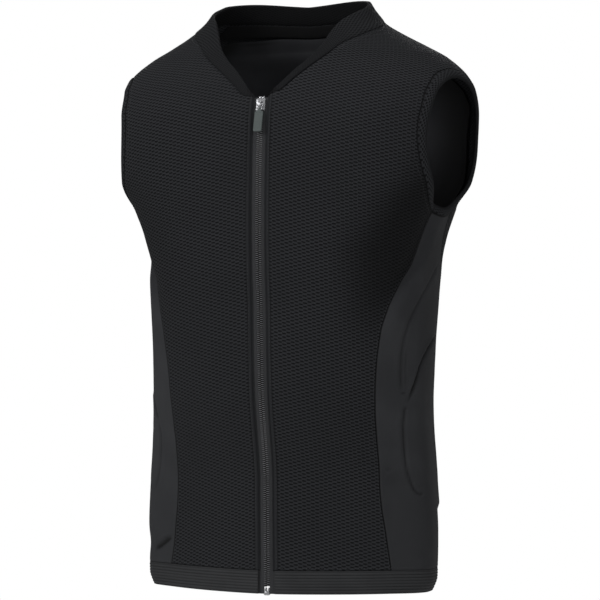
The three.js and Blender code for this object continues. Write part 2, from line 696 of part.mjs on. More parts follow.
function addZipTapes() {
  const start = chainHalfWidth + chainFit;
  const tops = [sliderHigh, zipTop];
  addPiece('zip_tape_left', zipStrip(start, tapeHalfWidth, 0, tops, tapeDepth, tapeWall), tapeCloth);
  addPiece('zip_tape_right', zipStrip(-tapeHalfWidth, -start, 0, tops, tapeDepth, tapeWall), tapeCloth);
}

const chainTop = levelOf(sliderHeight + sliderLength / 2 - postLength - sliderFit);
const boxTop = levelOf(boxHeight - boxDrop);

function addZipChain() {
  const depth = chainMiddle - chainWall / 2;
  const low = boxTop + levelOf(chainFit);
  addPiece('zip_chain', zipStrip(-chainHalfWidth, chainHalfWidth, low, [chainTop], depth, chainWall), darkTeeth);
}

// A frame on the zip between two heights: X across, Y into the body and Z up along the chain
function zipFrame(low, high) {
  const frame = new THREE.Group();
  const start = zipPoint(0, low, chainMiddle);
  const end = zipPoint(0, high, chainMiddle);
  frame.position.lerpVectors(start, end, 0.5);
  frame.rotation.x = Math.atan2(start.y - end.y, end.z - start.z);
  group.add(frame);
  return frame;
}

// A box between two corners, given as spans along X, Y and Z
function boxBetween([x0, x1], [y0, y1], [z0, z1]) {
  const box = new THREE.BoxGeometry(x1 - x0, y1 - y0, z1 - z0);
  return box.translate((x0 + x1) / 2, (y0 + y1) / 2, (z0 + z1) / 2);
}

function toSolid(geometry) {
  const plain = geometry.clone();
  plain.deleteAttribute('normal');
  plain.deleteAttribute('uv');
  const merged = mergeVertices(plain, 1e-5);
  return new wasm.Manifold(new wasm.Mesh({
    numProp: 3,
    vertProperties: new Float32Array(merged.getAttribute('position').array),
    triVerts: new Uint32Array(merged.getIndex().array),
  }));
}

function toGeometry(solid) {
  const mesh = solid.getMesh();
  const geometry = new THREE.BufferGeometry();
  geometry.setAttribute('position', new THREE.BufferAttribute(mesh.vertProperties, 3));
  geometry.setIndex(new THREE.BufferAttribute(mesh.triVerts, 1));
  geometry.computeVertexNormals();
  return geometry;
}

const joined = pieces => toGeometry(pieces.map(toSolid).reduce((all, next) => all.add(next)));

const plateInside = chainWall / 2 + sliderFit;
const plateOutside = plateInside + sliderPlate;
const hingeOut = plateOutside + layerGap + tabWall / 2;
const bridgeTop = hingeOut + linkRadius + linkFit + bridgeWall;
const bridgeFloor = hingeOut - linkRadius - linkFit;

// Two plates joined by a post at the top, with flanges that leave a slot for the tapes, and a bridge
// on the front plate that holds the pull's link
function sliderGeometry() {
  const across = [-sliderHalfWidth, sliderHalfWidth];
  const along = [-sliderLength / 2, sliderLength / 2];
  const flangeInside = chainHalfWidth + 2 * chainFit;
  const slot = tapeWall / 2 + sliderFit;
  const bridgeAcross = [-bridgeHalfWidth, bridgeHalfWidth];
  const overlap = 0.2;
  const pieces = [];
  for (const side of [-1, 1]) {
    const spanOut = (from, to) => [side * from, side * to].sort((a, b) => a - b);
    pieces.push(boxBetween(across, spanOut(plateInside, plateOutside), along));
    for (const edge of [-1, 1]) {
      const flange = [edge * flangeInside, edge * sliderHalfWidth].sort((a, b) => a - b);
      pieces.push(boxBetween(flange, spanOut(slot, plateInside + overlap), along));
    }
  }
  const postTop = sliderLength / 2;
  const postAcross = [-chainHalfWidth / 3, chainHalfWidth / 3];
  const postThrough = [-plateInside - overlap, plateInside + overlap];
  pieces.push(boxBetween(postAcross, postThrough, [postTop - postLength, postTop]));
  pieces.push(boxBetween(bridgeAcross, [-bridgeFloor, -plateOutside + overlap], [-bridgeLength / 2, bridgeLength / 2]));
  pieces.push(boxBetween(bridgeAcross, [-bridgeTop, -bridgeTop + bridgeWall], [-bridgeLength / 2, bridgeLength / 2]));
  for (const end of [-1, 1]) {
    const leg = [end * bridgeSlot / 2, end * bridgeLength / 2].sort((a, b) => a - b);
    pieces.push(boxBetween(bridgeAcross, [-bridgeTop, -plateOutside + overlap], leg));
  }
  return joined(pieces);
}

// A rectangular ring of round wire: one bar in the bridge, one through the tab's head
function linkGeometry() {
  const armAt = tabHeadHalfWidth + linkFit + linkRadius;
  const bars = [0, -linkReach].map(z => {
    const bar = new THREE.CylinderGeometry(linkRadius, linkRadius, 2 * (armAt + linkRadius), 8);
    return bar.rotateZ(Math.PI / 2).translate(0, 0, z);
  });
  const arms = [-1, 1].map(side => {
    const arm = new THREE.CylinderGeometry(linkRadius, linkRadius, linkReach, 8);
    return arm.rotateX(Math.PI / 2).translate(side * armAt, 0, -linkReach / 2);
  });
  return joined([...bars, ...arms]);
}

// A flat tab with rounded corners and a narrow head that the link's lower bar passes through
function tabGeometry() {
  const eye = linkRadius + linkFit;
  const top = -linkReach + eye + bridgeWall;
  const shoulder = top - tabHead;
  const bottom = top - tabLength;
  const outline = new THREE.Shape();
  outline.moveTo(-tabHeadHalfWidth, top);
  outline.lineTo(-tabHeadHalfWidth, shoulder);
  outline.lineTo(-tabHalfWidth + tabCorner, shoulder);
  outline.absarc(-tabHalfWidth + tabCorner, shoulder - tabCorner, tabCorner, Math.PI / 2, Math.PI, false);
  outline.absarc(-tabHalfWidth + tabCorner, bottom + tabCorner, tabCorner, Math.PI, 1.5 * Math.PI, false);
  outline.absarc(tabHalfWidth - tabCorner, bottom + tabCorner, tabCorner, 1.5 * Math.PI, 2 * Math.PI, false);
  outline.absarc(tabHalfWidth - tabCorner, shoulder - tabCorner, tabCorner, 0, Math.PI / 2, false);
  outline.lineTo(tabHeadHalfWidth, shoulder);
  outline.lineTo(tabHeadHalfWidth, top);
  const plate = new THREE.ExtrudeGeometry(outline, { depth: tabWall, bevelEnabled: false, curveSegments: 4 });
  plate.rotateX(Math.PI / 2).translate(0, tabWall / 2, 0);
  const hole = new THREE.BoxGeometry(4 * tabHeadHalfWidth, 2 * eye, 2 * eye).translate(0, 0, -linkReach);
  return toGeometry(toSolid(plate).subtract(toSolid(hole)));
}

function addSliderAndPull() {
  const frame = zipFrame(sliderLow, sliderHigh);
  addPiece('zip_slider', sliderGeometry(), silver, frame);
  const pull = new THREE.Group();
  pull.position.y = -hingeOut;
  frame.add(pull);
  addPiece('pull_link', linkGeometry(), silver, pull);
  addPiece('pull_tab', tabGeometry(), tabRubber, pull);
}

function addStopsAndBox() {
  const half = chainWall / 2;
  const stopFrame = zipFrame(sliderHigh, sliderHigh + levelOf(stopHeight));
  const up = [-stopHeight / 2, stopHeight / 2];
  addPiece('top_stop_left', boxBetween([chainFit, chainHalfWidth], [-half, half], up), silver, stopFrame);
  addPiece('top_stop_right', boxBetween([-chainHalfWidth, -chainFit], [-half, half], up), silver, stopFrame);
  const boxFrame = zipFrame(-levelOf(boxDrop), boxTop);
  const tall = [-boxHeight / 2, boxHeight / 2];
  const through = [-boxWall / 2, boxWall / 2];
  const pinStart = chainHalfWidth - pinWidth;
  addPiece('retainer_box', boxBetween([-chainHalfWidth, pinStart - chainFit], through, tall), silver, boxFrame);
  addPiece('insertion_pin', boxBetween([pinStart, chainHalfWidth], [-half, half], tall), silver, boxFrame);
}

addFrontPanels();
addBackPanel();
addSidePanels();
addHemBand();
addCollar();
addNeckFacing();
addArmholeBindings();
addProtectorPad();
addBackLining();
addZipTapes();
addZipChain();
addSliderAndPull();
addStopsAndBox();

export default group;
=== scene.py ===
# A sleeveless back protector vest of black mesh cloth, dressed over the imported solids.
# Lengths are in millimetres until a mesh is made. "turn" is the angle in degrees from the centre
# front towards the wearer's left, and "at" is the height as a share of the body's height.
import json
import math

import bpy
import numpy as np
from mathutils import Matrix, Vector

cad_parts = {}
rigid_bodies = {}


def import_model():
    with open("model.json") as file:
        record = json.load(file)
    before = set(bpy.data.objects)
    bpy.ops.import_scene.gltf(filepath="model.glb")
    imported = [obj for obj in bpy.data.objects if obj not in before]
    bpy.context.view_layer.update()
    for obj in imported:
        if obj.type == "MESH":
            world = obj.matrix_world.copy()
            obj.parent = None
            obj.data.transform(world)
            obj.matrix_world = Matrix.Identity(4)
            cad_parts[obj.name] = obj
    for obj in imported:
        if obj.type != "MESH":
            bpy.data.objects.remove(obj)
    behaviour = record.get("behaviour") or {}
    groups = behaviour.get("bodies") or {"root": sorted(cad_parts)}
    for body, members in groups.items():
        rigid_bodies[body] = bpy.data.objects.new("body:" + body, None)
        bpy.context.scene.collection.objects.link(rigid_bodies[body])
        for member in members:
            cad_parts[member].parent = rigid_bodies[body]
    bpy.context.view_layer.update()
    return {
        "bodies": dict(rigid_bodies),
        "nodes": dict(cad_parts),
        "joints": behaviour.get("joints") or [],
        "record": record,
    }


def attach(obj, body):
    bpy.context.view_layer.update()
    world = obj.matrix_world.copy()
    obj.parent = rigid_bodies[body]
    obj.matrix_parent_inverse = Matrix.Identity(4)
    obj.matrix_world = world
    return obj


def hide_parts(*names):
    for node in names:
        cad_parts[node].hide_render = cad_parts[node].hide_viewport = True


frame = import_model()
print("frame loaded:", len(frame["nodes"]), "nodes")

body = {"height": 585.0, "halfWidth": 192.5, "front": 111.0, "back": 112.0}
walls = {"mesh": 2.6, "side": 1.6, "hem": 2.8, "collar": 3.2, "binding": 2.4, "facing": 1.0,
         "lining": 1.2}
hemHeight = 23.5
armhole = {"halfWidth": 65.0, "halfHeight": 75.0, "centre": 458.0, "forward": 9.0,
           "front": 171.0, "back": 200.0, "binding": 8.0}
padSize = {"sideRise": 1.5, "backRise": 9.0, "sideSink": 3.5, "backSink": 6.0, "clearance": 3.6,
           "edgeBlend": 9.0, "endBlend": 40.0}
liningSize = {"seat": 1.5, "lead": 18.0, "margin": 8.0, "drop": 3.0, "endTurn": 110.0, "gap": 0.4}
facing = {"height": 12.5, "seat": 1.8, "turn": 112.0}
zipSize = {"shown": 9.0, "tapeHalfWidth": 15.0, "tapeWall": 0.8, "tapeDepth": 3.0, "tapeStart": 2.95,
           "chainHalfWidth": 3.0, "fit": 0.3,
           "sliderHeight": 495.2, "sliderLength": 13.0, "sliderFit": 0.4, "boxTop": 6.5}

# at, width, front, back, centre, frontSquare, backSquare
sectionRows = np.array([
    [0.000, 0.779, 0.685, 0.866, -0.054, 1.50, 2.2],
    [0.024, 0.804, 0.685, 0.884, -0.054, 1.45, 2.2],
    [0.103, 0.808, 0.685, 0.920, -0.062, 1.35, 2.2],
    [0.191, 0.794, 0.676, 0.964, -0.080, 1.40, 2.2],
    [0.333, 0.768, 0.811, 0.946, -0.071, 1.85, 2.2],
    [0.419, 0.773, 0.883, 0.938, -0.036, 2.05, 2.2],
    [0.509, 0.779, 0.955, 0.920, 0.018, 2.40, 2.3],
    [0.573, 0.790, 1.000, 0.902, 0.036, 2.45, 2.4],
    [0.615, 0.814, 0.990, 0.929, 0.018, 2.50, 2.4],
    [0.672, 0.880, 0.990, 0.964, 0.018, 2.60, 2.6],
    [0.718, 0.958, 0.991, 0.982, 0.027, 2.70, 2.9],
    [0.776, 0.992, 0.982, 0.946, 0.036, 2.70, 3.0],
    [0.834, 1.000, 0.964, 0.875, 0.054, 2.60, 3.0],
    [0.880, 0.982, 0.928, 0.750, 0.098, 2.40, 2.9],
    [0.903, 0.945, 0.919, 0.634, 0.152, 2.30, 2.7],
    [0.937, 0.829, 0.901, 0.473, 0.223, 2.30, 2.4],
    [0.957, 0.719, 0.865, 0.411, 0.232, 2.30, 2.3],
    [0.979, 0.593, 0.766, 0.420, 0.179, 2.30, 2.3],
    [1.000, 0.494, 0.667, 0.429, 0.125, 2.30, 2.3],
    [1.026, 0.432, 0.541, 0.429, 0.062, 2.30, 2.3],
    [1.050, 0.400, 0.450, 0.411, 0.036, 2.30, 2.3],
])
# turn, seam, rim
neckRows = np.array([
    [0, 0.860, 0.870], [5, 0.862, 0.882], [10, 0.885, 0.908], [14, 0.902, 0.924],
    [21, 0.925, 0.950], [31, 0.952, 0.978], [43, 0.970, 0.998], [57, 0.982, 1.012],
    [71, 0.990, 1.021], [90, 1.000, 1.031], [109, 1.010, 1.039], [140, 1.012, 1.044],
    [180, 1.007, 1.038],
])
# share of the seam's height, front turn, back turn
sideSeamRows = np.array([
    [0.00, 61, 117], [0.06, 60.6, 117], [0.13, 59.5, 118], [0.24, 56.3, 119], [0.33, 54.9, 120],
    [0.42, 52, 121], [0.49, 50.4, 122], [0.60, 49.6, 122], [0.69, 50.2, 121], [0.75, 53, 119],
    [0.82, 61, 114], [0.88, 71.5, 107], [0.95, 77, 100.42],
])
# at, turn
padRows = np.array([
    [0.090, 146], [0.135, 118], [0.170, 92], [0.197, 74], [0.241, 68.8], [0.292, 67.3],
    [0.345, 65], [0.388, 63.1], [0.458, 63], [0.509, 68.5], [0.547, 80], [0.590, 99],
    [0.645, 113], [0.718, 123], [0.803, 129], [0.889, 136], [0.945, 150],
])
# share of the armpit's height, turn
liningRows = np.array([
    [0.00, 70], [0.16, 66], [0.31, 59], [0.52, 54], [0.70, 54], [0.78, 60], [0.88, 80],
    [0.97, 101], [1.00, 105], [1.30, 122], [1.42, 129],
])
# turn, at, wide, tall, rise
dentRows = np.array([
    [52, 0.690, 0.16, 0.20, -0.030], [-52, 0.690, 0.14, 0.20, -0.024],
    [30, 0.800, 0.22, 0.18, 0.018], [-30, 0.800, 0.22, 0.18, 0.018],
    [70, 0.190, 0.12, 0.05, -0.018], [-76, 0.075, 0.12, 0.06, -0.018],
    [180, 0.600, 0.06, 0.90, -0.045],
])


def ease(value, low, high):  # 0 below low, 1 above high, and 3t^2 - 2t^3 between
    t = np.clip((value - low) / (high - low), 0, 1)
    return t * t * (3 - 2 * t)


def smooth(rows, column, value):
    # monotone cubic through one column of a table: each inner tangent is the weighted harmonic
    # mean of the slopes beside it, or nought where they differ in sign
    x, y = rows[:, 0], rows[:, column]
    width = np.diff(x)
    slope = np.diff(y) / width
    product = slope[:-1] * slope[1:]
    before = 2 * width[1:] + width[:-1]
    after = width[1:] + 2 * width[:-1]
    low = np.where(product > 0, slope[:-1], 1)
    high = np.where(product > 0, slope[1:], 1)
    inner = np.where(product > 0, (before + after) / (before / low + after / high), 0)
    tangent = np.concatenate([slope[:1], inner, slope[-1:]])
    v = np.clip(value, x[0], x[-1])
    k = np.clip(np.searchsorted(x, v, "right") - 1, 0, len(x) - 2)
    t = (v - x[k]) / width[k]
    rise = t * t * (3 - 2 * t)
    lean = (1 - t) * tangent[k] - t * tangent[k + 1]
    return y[k] * (1 - rise) + y[k + 1] * rise + width[k] * t * (1 - t) * lean


def bodyPoint(turn, at):
    # superellipse with half axes "width" and "front" or "back" about a centre line that shifts
    turn, at = np.broadcast_arrays(np.asarray(turn, float), np.asarray(at, float))
    column = [smooth(sectionRows, i, at) for i in range(1, 7)]
    width, front, back, centre = (column[0] * body["halfWidth"], column[1] * body["front"],
                                  column[2] * body["back"], column[3] * body["back"])
    sine, cosine = np.sin(np.radians(turn)), np.cos(np.radians(turn))
    square = column[4] + (column[5] - column[4]) * ease(np.abs(turn), 60, 100)
    reach = (np.abs(sine) ** square + np.abs(cosine) ** square) ** (-1 / square)
    depth = np.where(cosine > 0, front, back)
    return np.stack([width * reach * sine, centre - depth * reach * cosine,
                     (at - 1) * body["height"]], -1)


def outward(turn, at):  # unit normal: the cross product of the steps around and up the body
    across = bodyPoint(turn + 0.4, at) - bodyPoint(turn - 0.4, at)
    up = bodyPoint(turn, at + 0.002) - bodyPoint(turn, at - 0.002)
    normal = np.cross(across, up)
    return normal / np.linalg.norm(normal, axis=-1, keepdims=True)


def halve(test, low, high):  # the value between low and high at which test turns false
    for _ in range(40):
        middle = (low + high) / 2
        inside = test(middle)
        low, high = np.where(inside, middle, low), np.where(inside, high, middle)
    return (low + high) / 2


def turnAtDepth(y, at):
    y, at = np.broadcast_arrays(np.asarray(y, float), np.asarray(at, float))
    return halve(lambda turn: bodyPoint(turn, at)[..., 1] < y, np.zeros(y.shape),
                 np.full(y.shape, 180.0))


def turnAtSide(x, at):
    x, at = np.broadcast_arrays(np.asarray(x, float), np.asarray(at, float))
    square = smooth(sectionRows, 5, at)
    share = np.abs(x) / (smooth(sectionRows, 1, at) * body["halfWidth"])
    return np.sign(x) * np.degrees(np.arctan2(share, (1 - share ** square) ** (1 / square)))


# The band is narrower at the front of the wearer's left side: by how much of the body's height, and
# the turns between which that comes and goes
neckLift = {"high": 0.0085, "full": 5, "end": 45, "fade": 28}


def neckSeam(turn):
    turn = np.asarray(turn)
    reach = ease(turn, 0, neckLift["full"]) * ease(neckLift["end"] - turn, 0, neckLift["fade"])
    lift = np.where(turn > 0, neckLift["high"] * reach, 0)
    return smooth(neckRows, 1, np.abs(turn)) + lift


def collarRim(turn):
    return smooth(neckRows, 2, np.abs(turn))


def armholePlace(angle, inset=0.0):
    # an oval seen from the side, its angle running from the top forwards
    angle = np.radians(np.asarray(angle, float))
    y = -armhole["forward"] - (armhole["halfWidth"] - inset) * np.sin(angle)
    at = (armhole["centre"] + (armhole["halfHeight"] - inset) * np.cos(angle)) / body["height"]
    return turnAtDepth(y, at), at


tipAngle = float(halve(lambda angle: armholePlace(angle)[0] > 90, np.array(-90.0), np.array(45.0)))
armpitFront = [float(v) for v in armholePlace(armhole["front"])]
armpitBack = [float(v) for v in armholePlace(armhole["back"])]
shoulderTip = [float(v) for v in armholePlace(tipAngle)]
seamRows = np.vstack([sideSeamRows, [1, armpitFront[0], armpitBack[0]]])
hemTop = hemHeight / body["height"]


def sideSeam(side, at):
    top = armpitFront[1] if side == "front" else armpitBack[1]
    return smooth(seamRows, 1 if side == "front" else 2, at / top)


def armholeBack(at):
    share = (at * body["height"] - armhole["centre"]) / armhole["halfHeight"]
    y = -armhole["forward"] + armhole["halfWidth"] * np.sqrt(np.clip(1 - share * share, 0, 1))
    return np.where(np.abs(share) >= 1, 90, turnAtDepth(y, at))


# The edges' angles are tabled once, because each takes a search
edgeLevels = np.linspace(0, 1.06, 531)
liningTable = np.maximum(smooth(liningRows, 1, edgeLevels / armpitBack[1]),
                         armholeBack(edgeLevels) + liningSize["margin"])
padTable = np.maximum(smooth(padRows, 1, edgeLevels), liningTable + liningSize["margin"])


def liningEdge(at):
    return np.interp(at, edgeLevels, liningTable)


def padEdge(at):
    return np.interp(at, edgeLevels, padTable)


def padCover(turn, at, lead):  # 1 well inside the pad's outline and 0 outside it
    inside = np.abs(turn) - padEdge(at)
    blend = padSize["endBlend"] / body["height"]
    end = blend * lead / padSize["edgeBlend"]
    across = ease(inside, -lead, 2 * padSize["edgeBlend"] - lead)
    low = ease(at - padRows[0, 0], -end, 2 * blend - end)
    high = ease(padRows[-1, 0] - at, -end, 2 * blend - end)
    return across * low * high


def padBlend(turn, side, back):
    return side + (back - side) * ease(np.abs(turn), 95, 140)


def padRise(turn):
    return padBlend(turn, padSize["sideRise"], padSize["backRise"])


def padThick(turn):
    return padRise(turn) + padBlend(turn, padSize["sideSink"], padSize["backSink"])


# "around" is the body's radius at the side, which turns an angle into a length
valley = {"deep": 8.0, "front": 30.0, "behind": 11.0, "low": 0.42, "high": 0.80, "around": 165}


def valleyAt(turn, at):
    # a hollow along the upper side seam, e^-(d/wide)^2 with a width on each side
    away = np.radians(np.abs(turn) - sideSeam("front", at)) * valley["around"]
    wide = np.where(away < 0, valley["front"], valley["behind"])
    reach = ease(at, valley["low"], valley["low"] + 0.16) * ease(valley["high"] - at, 0, 0.12)
    return valley["deep"] * reach * np.exp(-(away / wide) ** 2)


def dentAt(turn, at):
    # each dent is a bell: rise times e to the minus squared distance over its size
    here = bodyPoint(turn, at)
    total = -valleyAt(turn, at)
    for where, level, wide, tall, rise in dentRows:
        away = here - bodyPoint(where, level)
        across = np.hypot(away[..., 0], away[..., 1]) / (wide * body["halfWidth"])
        up = away[..., 2] / (tall * body["halfWidth"])
        total += rise * body["front"] * np.exp(-across ** 2 - up ** 2)
    return total


def clothPoint(turn, at, depth):  # depth is measured inwards from the vest's outside
    turn, at = np.broadcast_arrays(np.asarray(turn, float), np.asarray(at, float))
    lift = padRise(turn) * padCover(turn, at, padSize["edgeBlend"]) + dentAt(turn, at) - depth
    return bodyPoint(turn, at) + outward(turn, at) * np.asarray(lift)[..., None]


# Lengths along the cloth, tabled over the body: around it from the centre front and up from the hem
mapTurns = np.linspace(-180, 180, 241)
mapLevels = np.linspace(0, 1.06, 213)
mapSteps = {"turn": 1.5, "level": 0.005}
mapPoints = bodyPoint(mapTurns[None, :], mapLevels[:, None])
aroundSteps = np.linalg.norm(np.diff(mapPoints, axis=1), axis=-1)
aroundMap = np.concatenate([np.zeros((len(mapLevels), 1)), np.cumsum(aroundSteps, 1)], 1)
aroundMap -= aroundMap[:, len(mapTurns) // 2:][:, :1]
upSteps = np.linalg.norm(np.diff(mapPoints, axis=0), axis=-1)
upMap = np.concatenate([np.zeros((1, len(mapTurns))), np.cumsum(upSteps, 0)], 0)


def flatPlace(turn, at):  # both lengths at a place, read between the four nearest table entries
    i = np.clip((np.asarray(turn) + 180) / mapSteps["turn"], 0, len(mapTurns) - 1.001)
    j = np.clip(np.asarray(at) / mapSteps["level"], 0, len(mapLevels) - 1.001)
    i, j = np.broadcast_arrays(i, j)
    a, b = i.astype(int), j.astype(int)
    u, v = i - a, j - b
    both = []
    for table in (aroundMap, upMap):
        low = table[b, a] * (1 - u) + table[b, a + 1] * u
        high = table[b + 1, a] * (1 - u) + table[b + 1, a + 1] * u
        both.append(low * (1 - v) + high * v)
    return np.stack(both, -1)


def runAlong(points, axis):  # length from the start of each line of points along one axis
    step = np.linalg.norm(np.diff(points, axis=axis), axis=-1)
    start = np.zeros_like(np.take(step, [0], axis))
    return np.concatenate([start, np.cumsum(step, axis)], axis)


def shareAlong(line):
    run = runAlong(bodyPoint(line[:, 0], line[:, 1]), 0)
    return run / run[-1]


def placesOf(turn, at):
    turn, at = np.broadcast_arrays(np.asarray(turn, float), np.asarray(at, float))
    return np.stack([turn, at], -1)


def fillPatch(inner, outer, lower, upper):
    # a Coons patch: the surface ruled across plus the one ruled upwards less the one through the
    # four corners, laid back on the body by the angle and the height of each point
    left, right, base, top = (bodyPoint(*line.T) for line in (inner, outer, lower, upper))
    u = ((shareAlong(lower) + shareAlong(upper)) / 2)[None, :, None]
    v = ((shareAlong(inner) + shareAlong(outer)) / 2)[:, None, None]
    across = (1 - u) * left[:, None] + u * right[:, None]
    upwards = (1 - v) * base[None] + v * top[None]
    corners = ((1 - u) * (1 - v) * base[0] + u * (1 - v) * base[-1]
               + (1 - u) * v * top[0] + u * v * top[-1])
    point = across + upwards - corners
    at = point[..., 2] / body["height"] + 1
    ahead = smooth(sectionRows, 4, at) * body["back"] - point[..., 1]
    wide = smooth(sectionRows, 1, at) * body["halfWidth"]
    deep = np.where(ahead > 0, smooth(sectionRows, 2, at) * body["front"],
                    smooth(sectionRows, 3, at) * body["back"])
    turn = np.degrees(np.arctan2(point[..., 0] / wide, ahead / deep))
    places = placesOf(turn, at)
    places[0], places[-1], places[:, 0], places[:, -1] = lower, upper, inner, outer
    return places


def fillPanel(side, counts):
    # the lower part runs from the hem to the armpit, and the upper one on to the neck and shoulder
    low, high, neck, ridge = counts
    if side == "front":
        armpit, startTurn = armpitFront, lambda at: turnAtSide(zipSize["shown"], at)
        angles = np.linspace(armhole["front"], tipAngle, high + 1)
        start = float(turnAtSide(zipSize["shown"], neckSeam(0)))
        neckTurns = start + (90 - start) * np.linspace(0, 1, neck + 1) ** 1.5
    else:
        armpit, startTurn = armpitBack, lambda at: np.full(np.shape(at), 180.0)
        angles = np.linspace(armhole["back"], 360 + tipAngle, high + 1)
        neckTurns = np.linspace(180, 90, neck + 1)
    levels = np.linspace(hemTop, armpit[1], low + 1)
    seam = placesOf(sideSeam(side, levels), levels)
    arc = placesOf(*armholePlace(angles))
    ridgeLine = placesOf(90, np.linspace(float(neckSeam(90)), shoulderTip[1], ridge + 1))
    arc[0], arc[-1] = seam[-1], ridgeLine[-1]
    upper = np.concatenate([placesOf(neckTurns[:-1], neckSeam(neckTurns[:-1])), ridgeLine])

    def edgeUp(line, lowest, highest):
        at = lowest + (highest - lowest) * shareAlong(line)
        return placesOf(startTurn(at), at)

    def lineTo(start, end):
        return start + (end - start) * shareAlong(upper)[:, None]

    below, above = edgeUp(seam, hemTop, armpit[1]), edgeUp(arc, armpit[1], upper[0, 1])
    above[-1] = upper[0]
    chest = lineTo(below[-1], seam[-1])
    lowerPart = fillPatch(below, seam, lineTo(below[0], seam[0]), chest)
    return np.concatenate([lowerPart, fillPatch(above, arc, chest, upper)[1:]])


def gridFaces(rows, columns, start=0, wrapRows=False, wrapColumns=False):
    j = np.arange(rows if wrapRows else rows - 1)[:, None]
    i = np.arange(columns if wrapColumns else columns - 1)[None, :]
    nextJ, nextI = (j + 1) % rows, (i + 1) % columns
    quads = np.stack([j * columns + i, j * columns + nextI, nextJ * columns + nextI,
                      nextJ * columns + i], -1)
    return quads.reshape(-1, 4) + start


def closeWall(outer, inner):  # two grids of points and the four strips that join their borders
    rows, columns = outer.shape[:2]
    size = rows * columns
    index = np.arange(size).reshape(rows, columns)
    ring = np.concatenate([index[0, :-1], index[:-1, -1], index[-1, :0:-1], index[:0:-1, 0]])
    following = np.roll(ring, -1)
    rim = np.stack([ring, ring + size, following + size, following], -1)
    faces = np.concatenate([gridFaces(rows, columns), gridFaces(rows, columns, size)[:, ::-1], rim])
    return np.concatenate([outer.reshape(-1, 3), inner.reshape(-1, 3)]), faces


def signedVolume(points, faces):
    a, b, c, d = (points[faces[:, k]] for k in range(4))
    return (np.cross(a, b) * c).sum() + (np.cross(a, c) * d).sum()


pieces = {}


def makePiece(name, points, faces, paint, node=None, uv=None, values=None, rides="vest", caps=(),
              sharp=50):
    # puts points in millimetres and faces into a mesh whose faces point outwards
    if signedVolume(points, faces) < 0:
        faces = faces[:, ::-1]
        caps = [cap[::-1] for cap in caps]
    mesh = bpy.data.meshes.new(name)
    ends = [list(map(int, cap)) for cap in caps]
    mesh.from_pydata((points * 0.001).tolist(), [], faces.tolist() + ends)
    mesh.polygons.foreach_set("use_smooth", np.ones(len(mesh.polygons), bool))
    mesh.set_sharp_from_angle(angle=math.radians(sharp))
    if uv is not None:
        corners = np.empty(len(mesh.loops), np.int32)
        mesh.loops.foreach_get("vertex_index", corners)
        layer = mesh.uv_layers.new(name="cloth")
        layer.data.foreach_set("uv", (uv[corners] * 0.001).astype(np.float32).ravel())
    for key, value in (values or {}).items():
        layer = mesh.attributes.new(key, "FLOAT", "POINT")
        layer.data.foreach_set("value", value.astype(np.float32).ravel())
    mesh.update()
    piece = bpy.data.objects.new(name, mesh)
    bpy.context.scene.collection.objects.link(piece)
    mesh.materials.append(paint)
    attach(piece, rides)
    if node:
        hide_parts(node)
    pieces[name] = piece
    return piece


def layered(name, outer, inner, paint, node, flat, values=None):
    # a wall with the same map on both faces
    points, faces = closeWall(outer, inner)
    uv = np.concatenate([flat.reshape(-1, 2)] * 2)
    twice = {key: np.concatenate([value.ravel()] * 2) for key, value in (values or {}).items()}
    return makePiece(name, points, faces, paint, node, uv, twice)


def tubeFaces(rows, columns, closed):
    # profile points run along the rows and wrap round; the path runs along the columns
    faces = gridFaces(rows, columns, wrapRows=True, wrapColumns=closed)
    if closed:
        return faces, ()
    first = np.arange(rows) * columns
    return faces, (first, (first + columns - 1)[::-1])


def carried(path, across, up, profile):
    # a profile of x and y pairs set at each point of a path, x along "across" and y along "up"
    return path[None] + profile[:, 0, None, None] * across + profile[:, 1, None, None] * up[None]


def roundedLoop(halfWidth, halfHeight, count, power):
    # superellipse: each coordinate is its half size times the cosine or sine raised to a power
    angle = np.arange(count) * 2 * np.pi / count
    x, y = np.cos(angle), np.sin(angle)
    return np.stack([halfWidth * np.sign(x) * np.abs(x) ** power,
                     halfHeight * np.sign(y) * np.abs(y) ** power], -1)


def ripple(place, size, seed):
    # smooth noise from -1 to 1 between random values on a lattice that repeats after its two counts
    rows, columns = 97, 89
    values = np.random.default_rng(seed).uniform(-1, 1, (rows, columns))
    spot = np.asarray(place) / size + 500
    cell = np.floor(spot).astype(int)
    t = spot - cell
    t = t * t * (3 - 2 * t)
    i, j = cell[..., 0] % rows, cell[..., 1] % columns
    nextI, nextJ = (i + 1) % rows, (j + 1) % columns
    u, v = t[..., 0], t[..., 1]
    low = values[i, j] * (1 - u) + values[nextI, j] * u
    high = values[i, nextJ] * (1 - u) + values[nextI, nextJ] * u
    return low * (1 - v) + high * v


def spread(shares, values):  # values read at shares of their own count
    spot = np.clip(shares, 0, 1) * (len(values) - 1)
    low = np.minimum(spot.astype(int), len(values) - 2)
    part = (spot - low).reshape(-1, *[1] * (values.ndim - 1))
    return values[low] * (1 - part) + values[low + 1] * part


def crowded(count, low=0.0, high=0.0):
    # shares from 0 to 1 whose spacing shrinks by the given parts towards the low and the high end
    t = np.linspace(0, 1, count + 1)
    spacing = 1 - low * (1 - ease(t, 0, 0.25)) - high * ease(t, 0.75, 1)
    run = np.concatenate([[0], np.cumsum((spacing[1:] + spacing[:-1]) / 2)])
    return run / run[-1]


def edgeRuns(places):  # lengths from a grid's left, right, bottom and top borders
    points = bodyPoint(places[..., 0], places[..., 1])
    along, up = runAlong(points, 1), runAlong(points, 0)
    return along, along[:, -1:] - along, up, up[-1:] - up


def rolled(distance, width, drop):  # how far an edge sinks: a quarter circle of that width and drop
    t = np.clip(1 - distance / width, 0, 1)
    return drop * (1 - np.sqrt(1 - t * t))


def mirrored(places):
    return np.stack([-places[..., 0], places[..., 1]], -1)[:, ::-1]


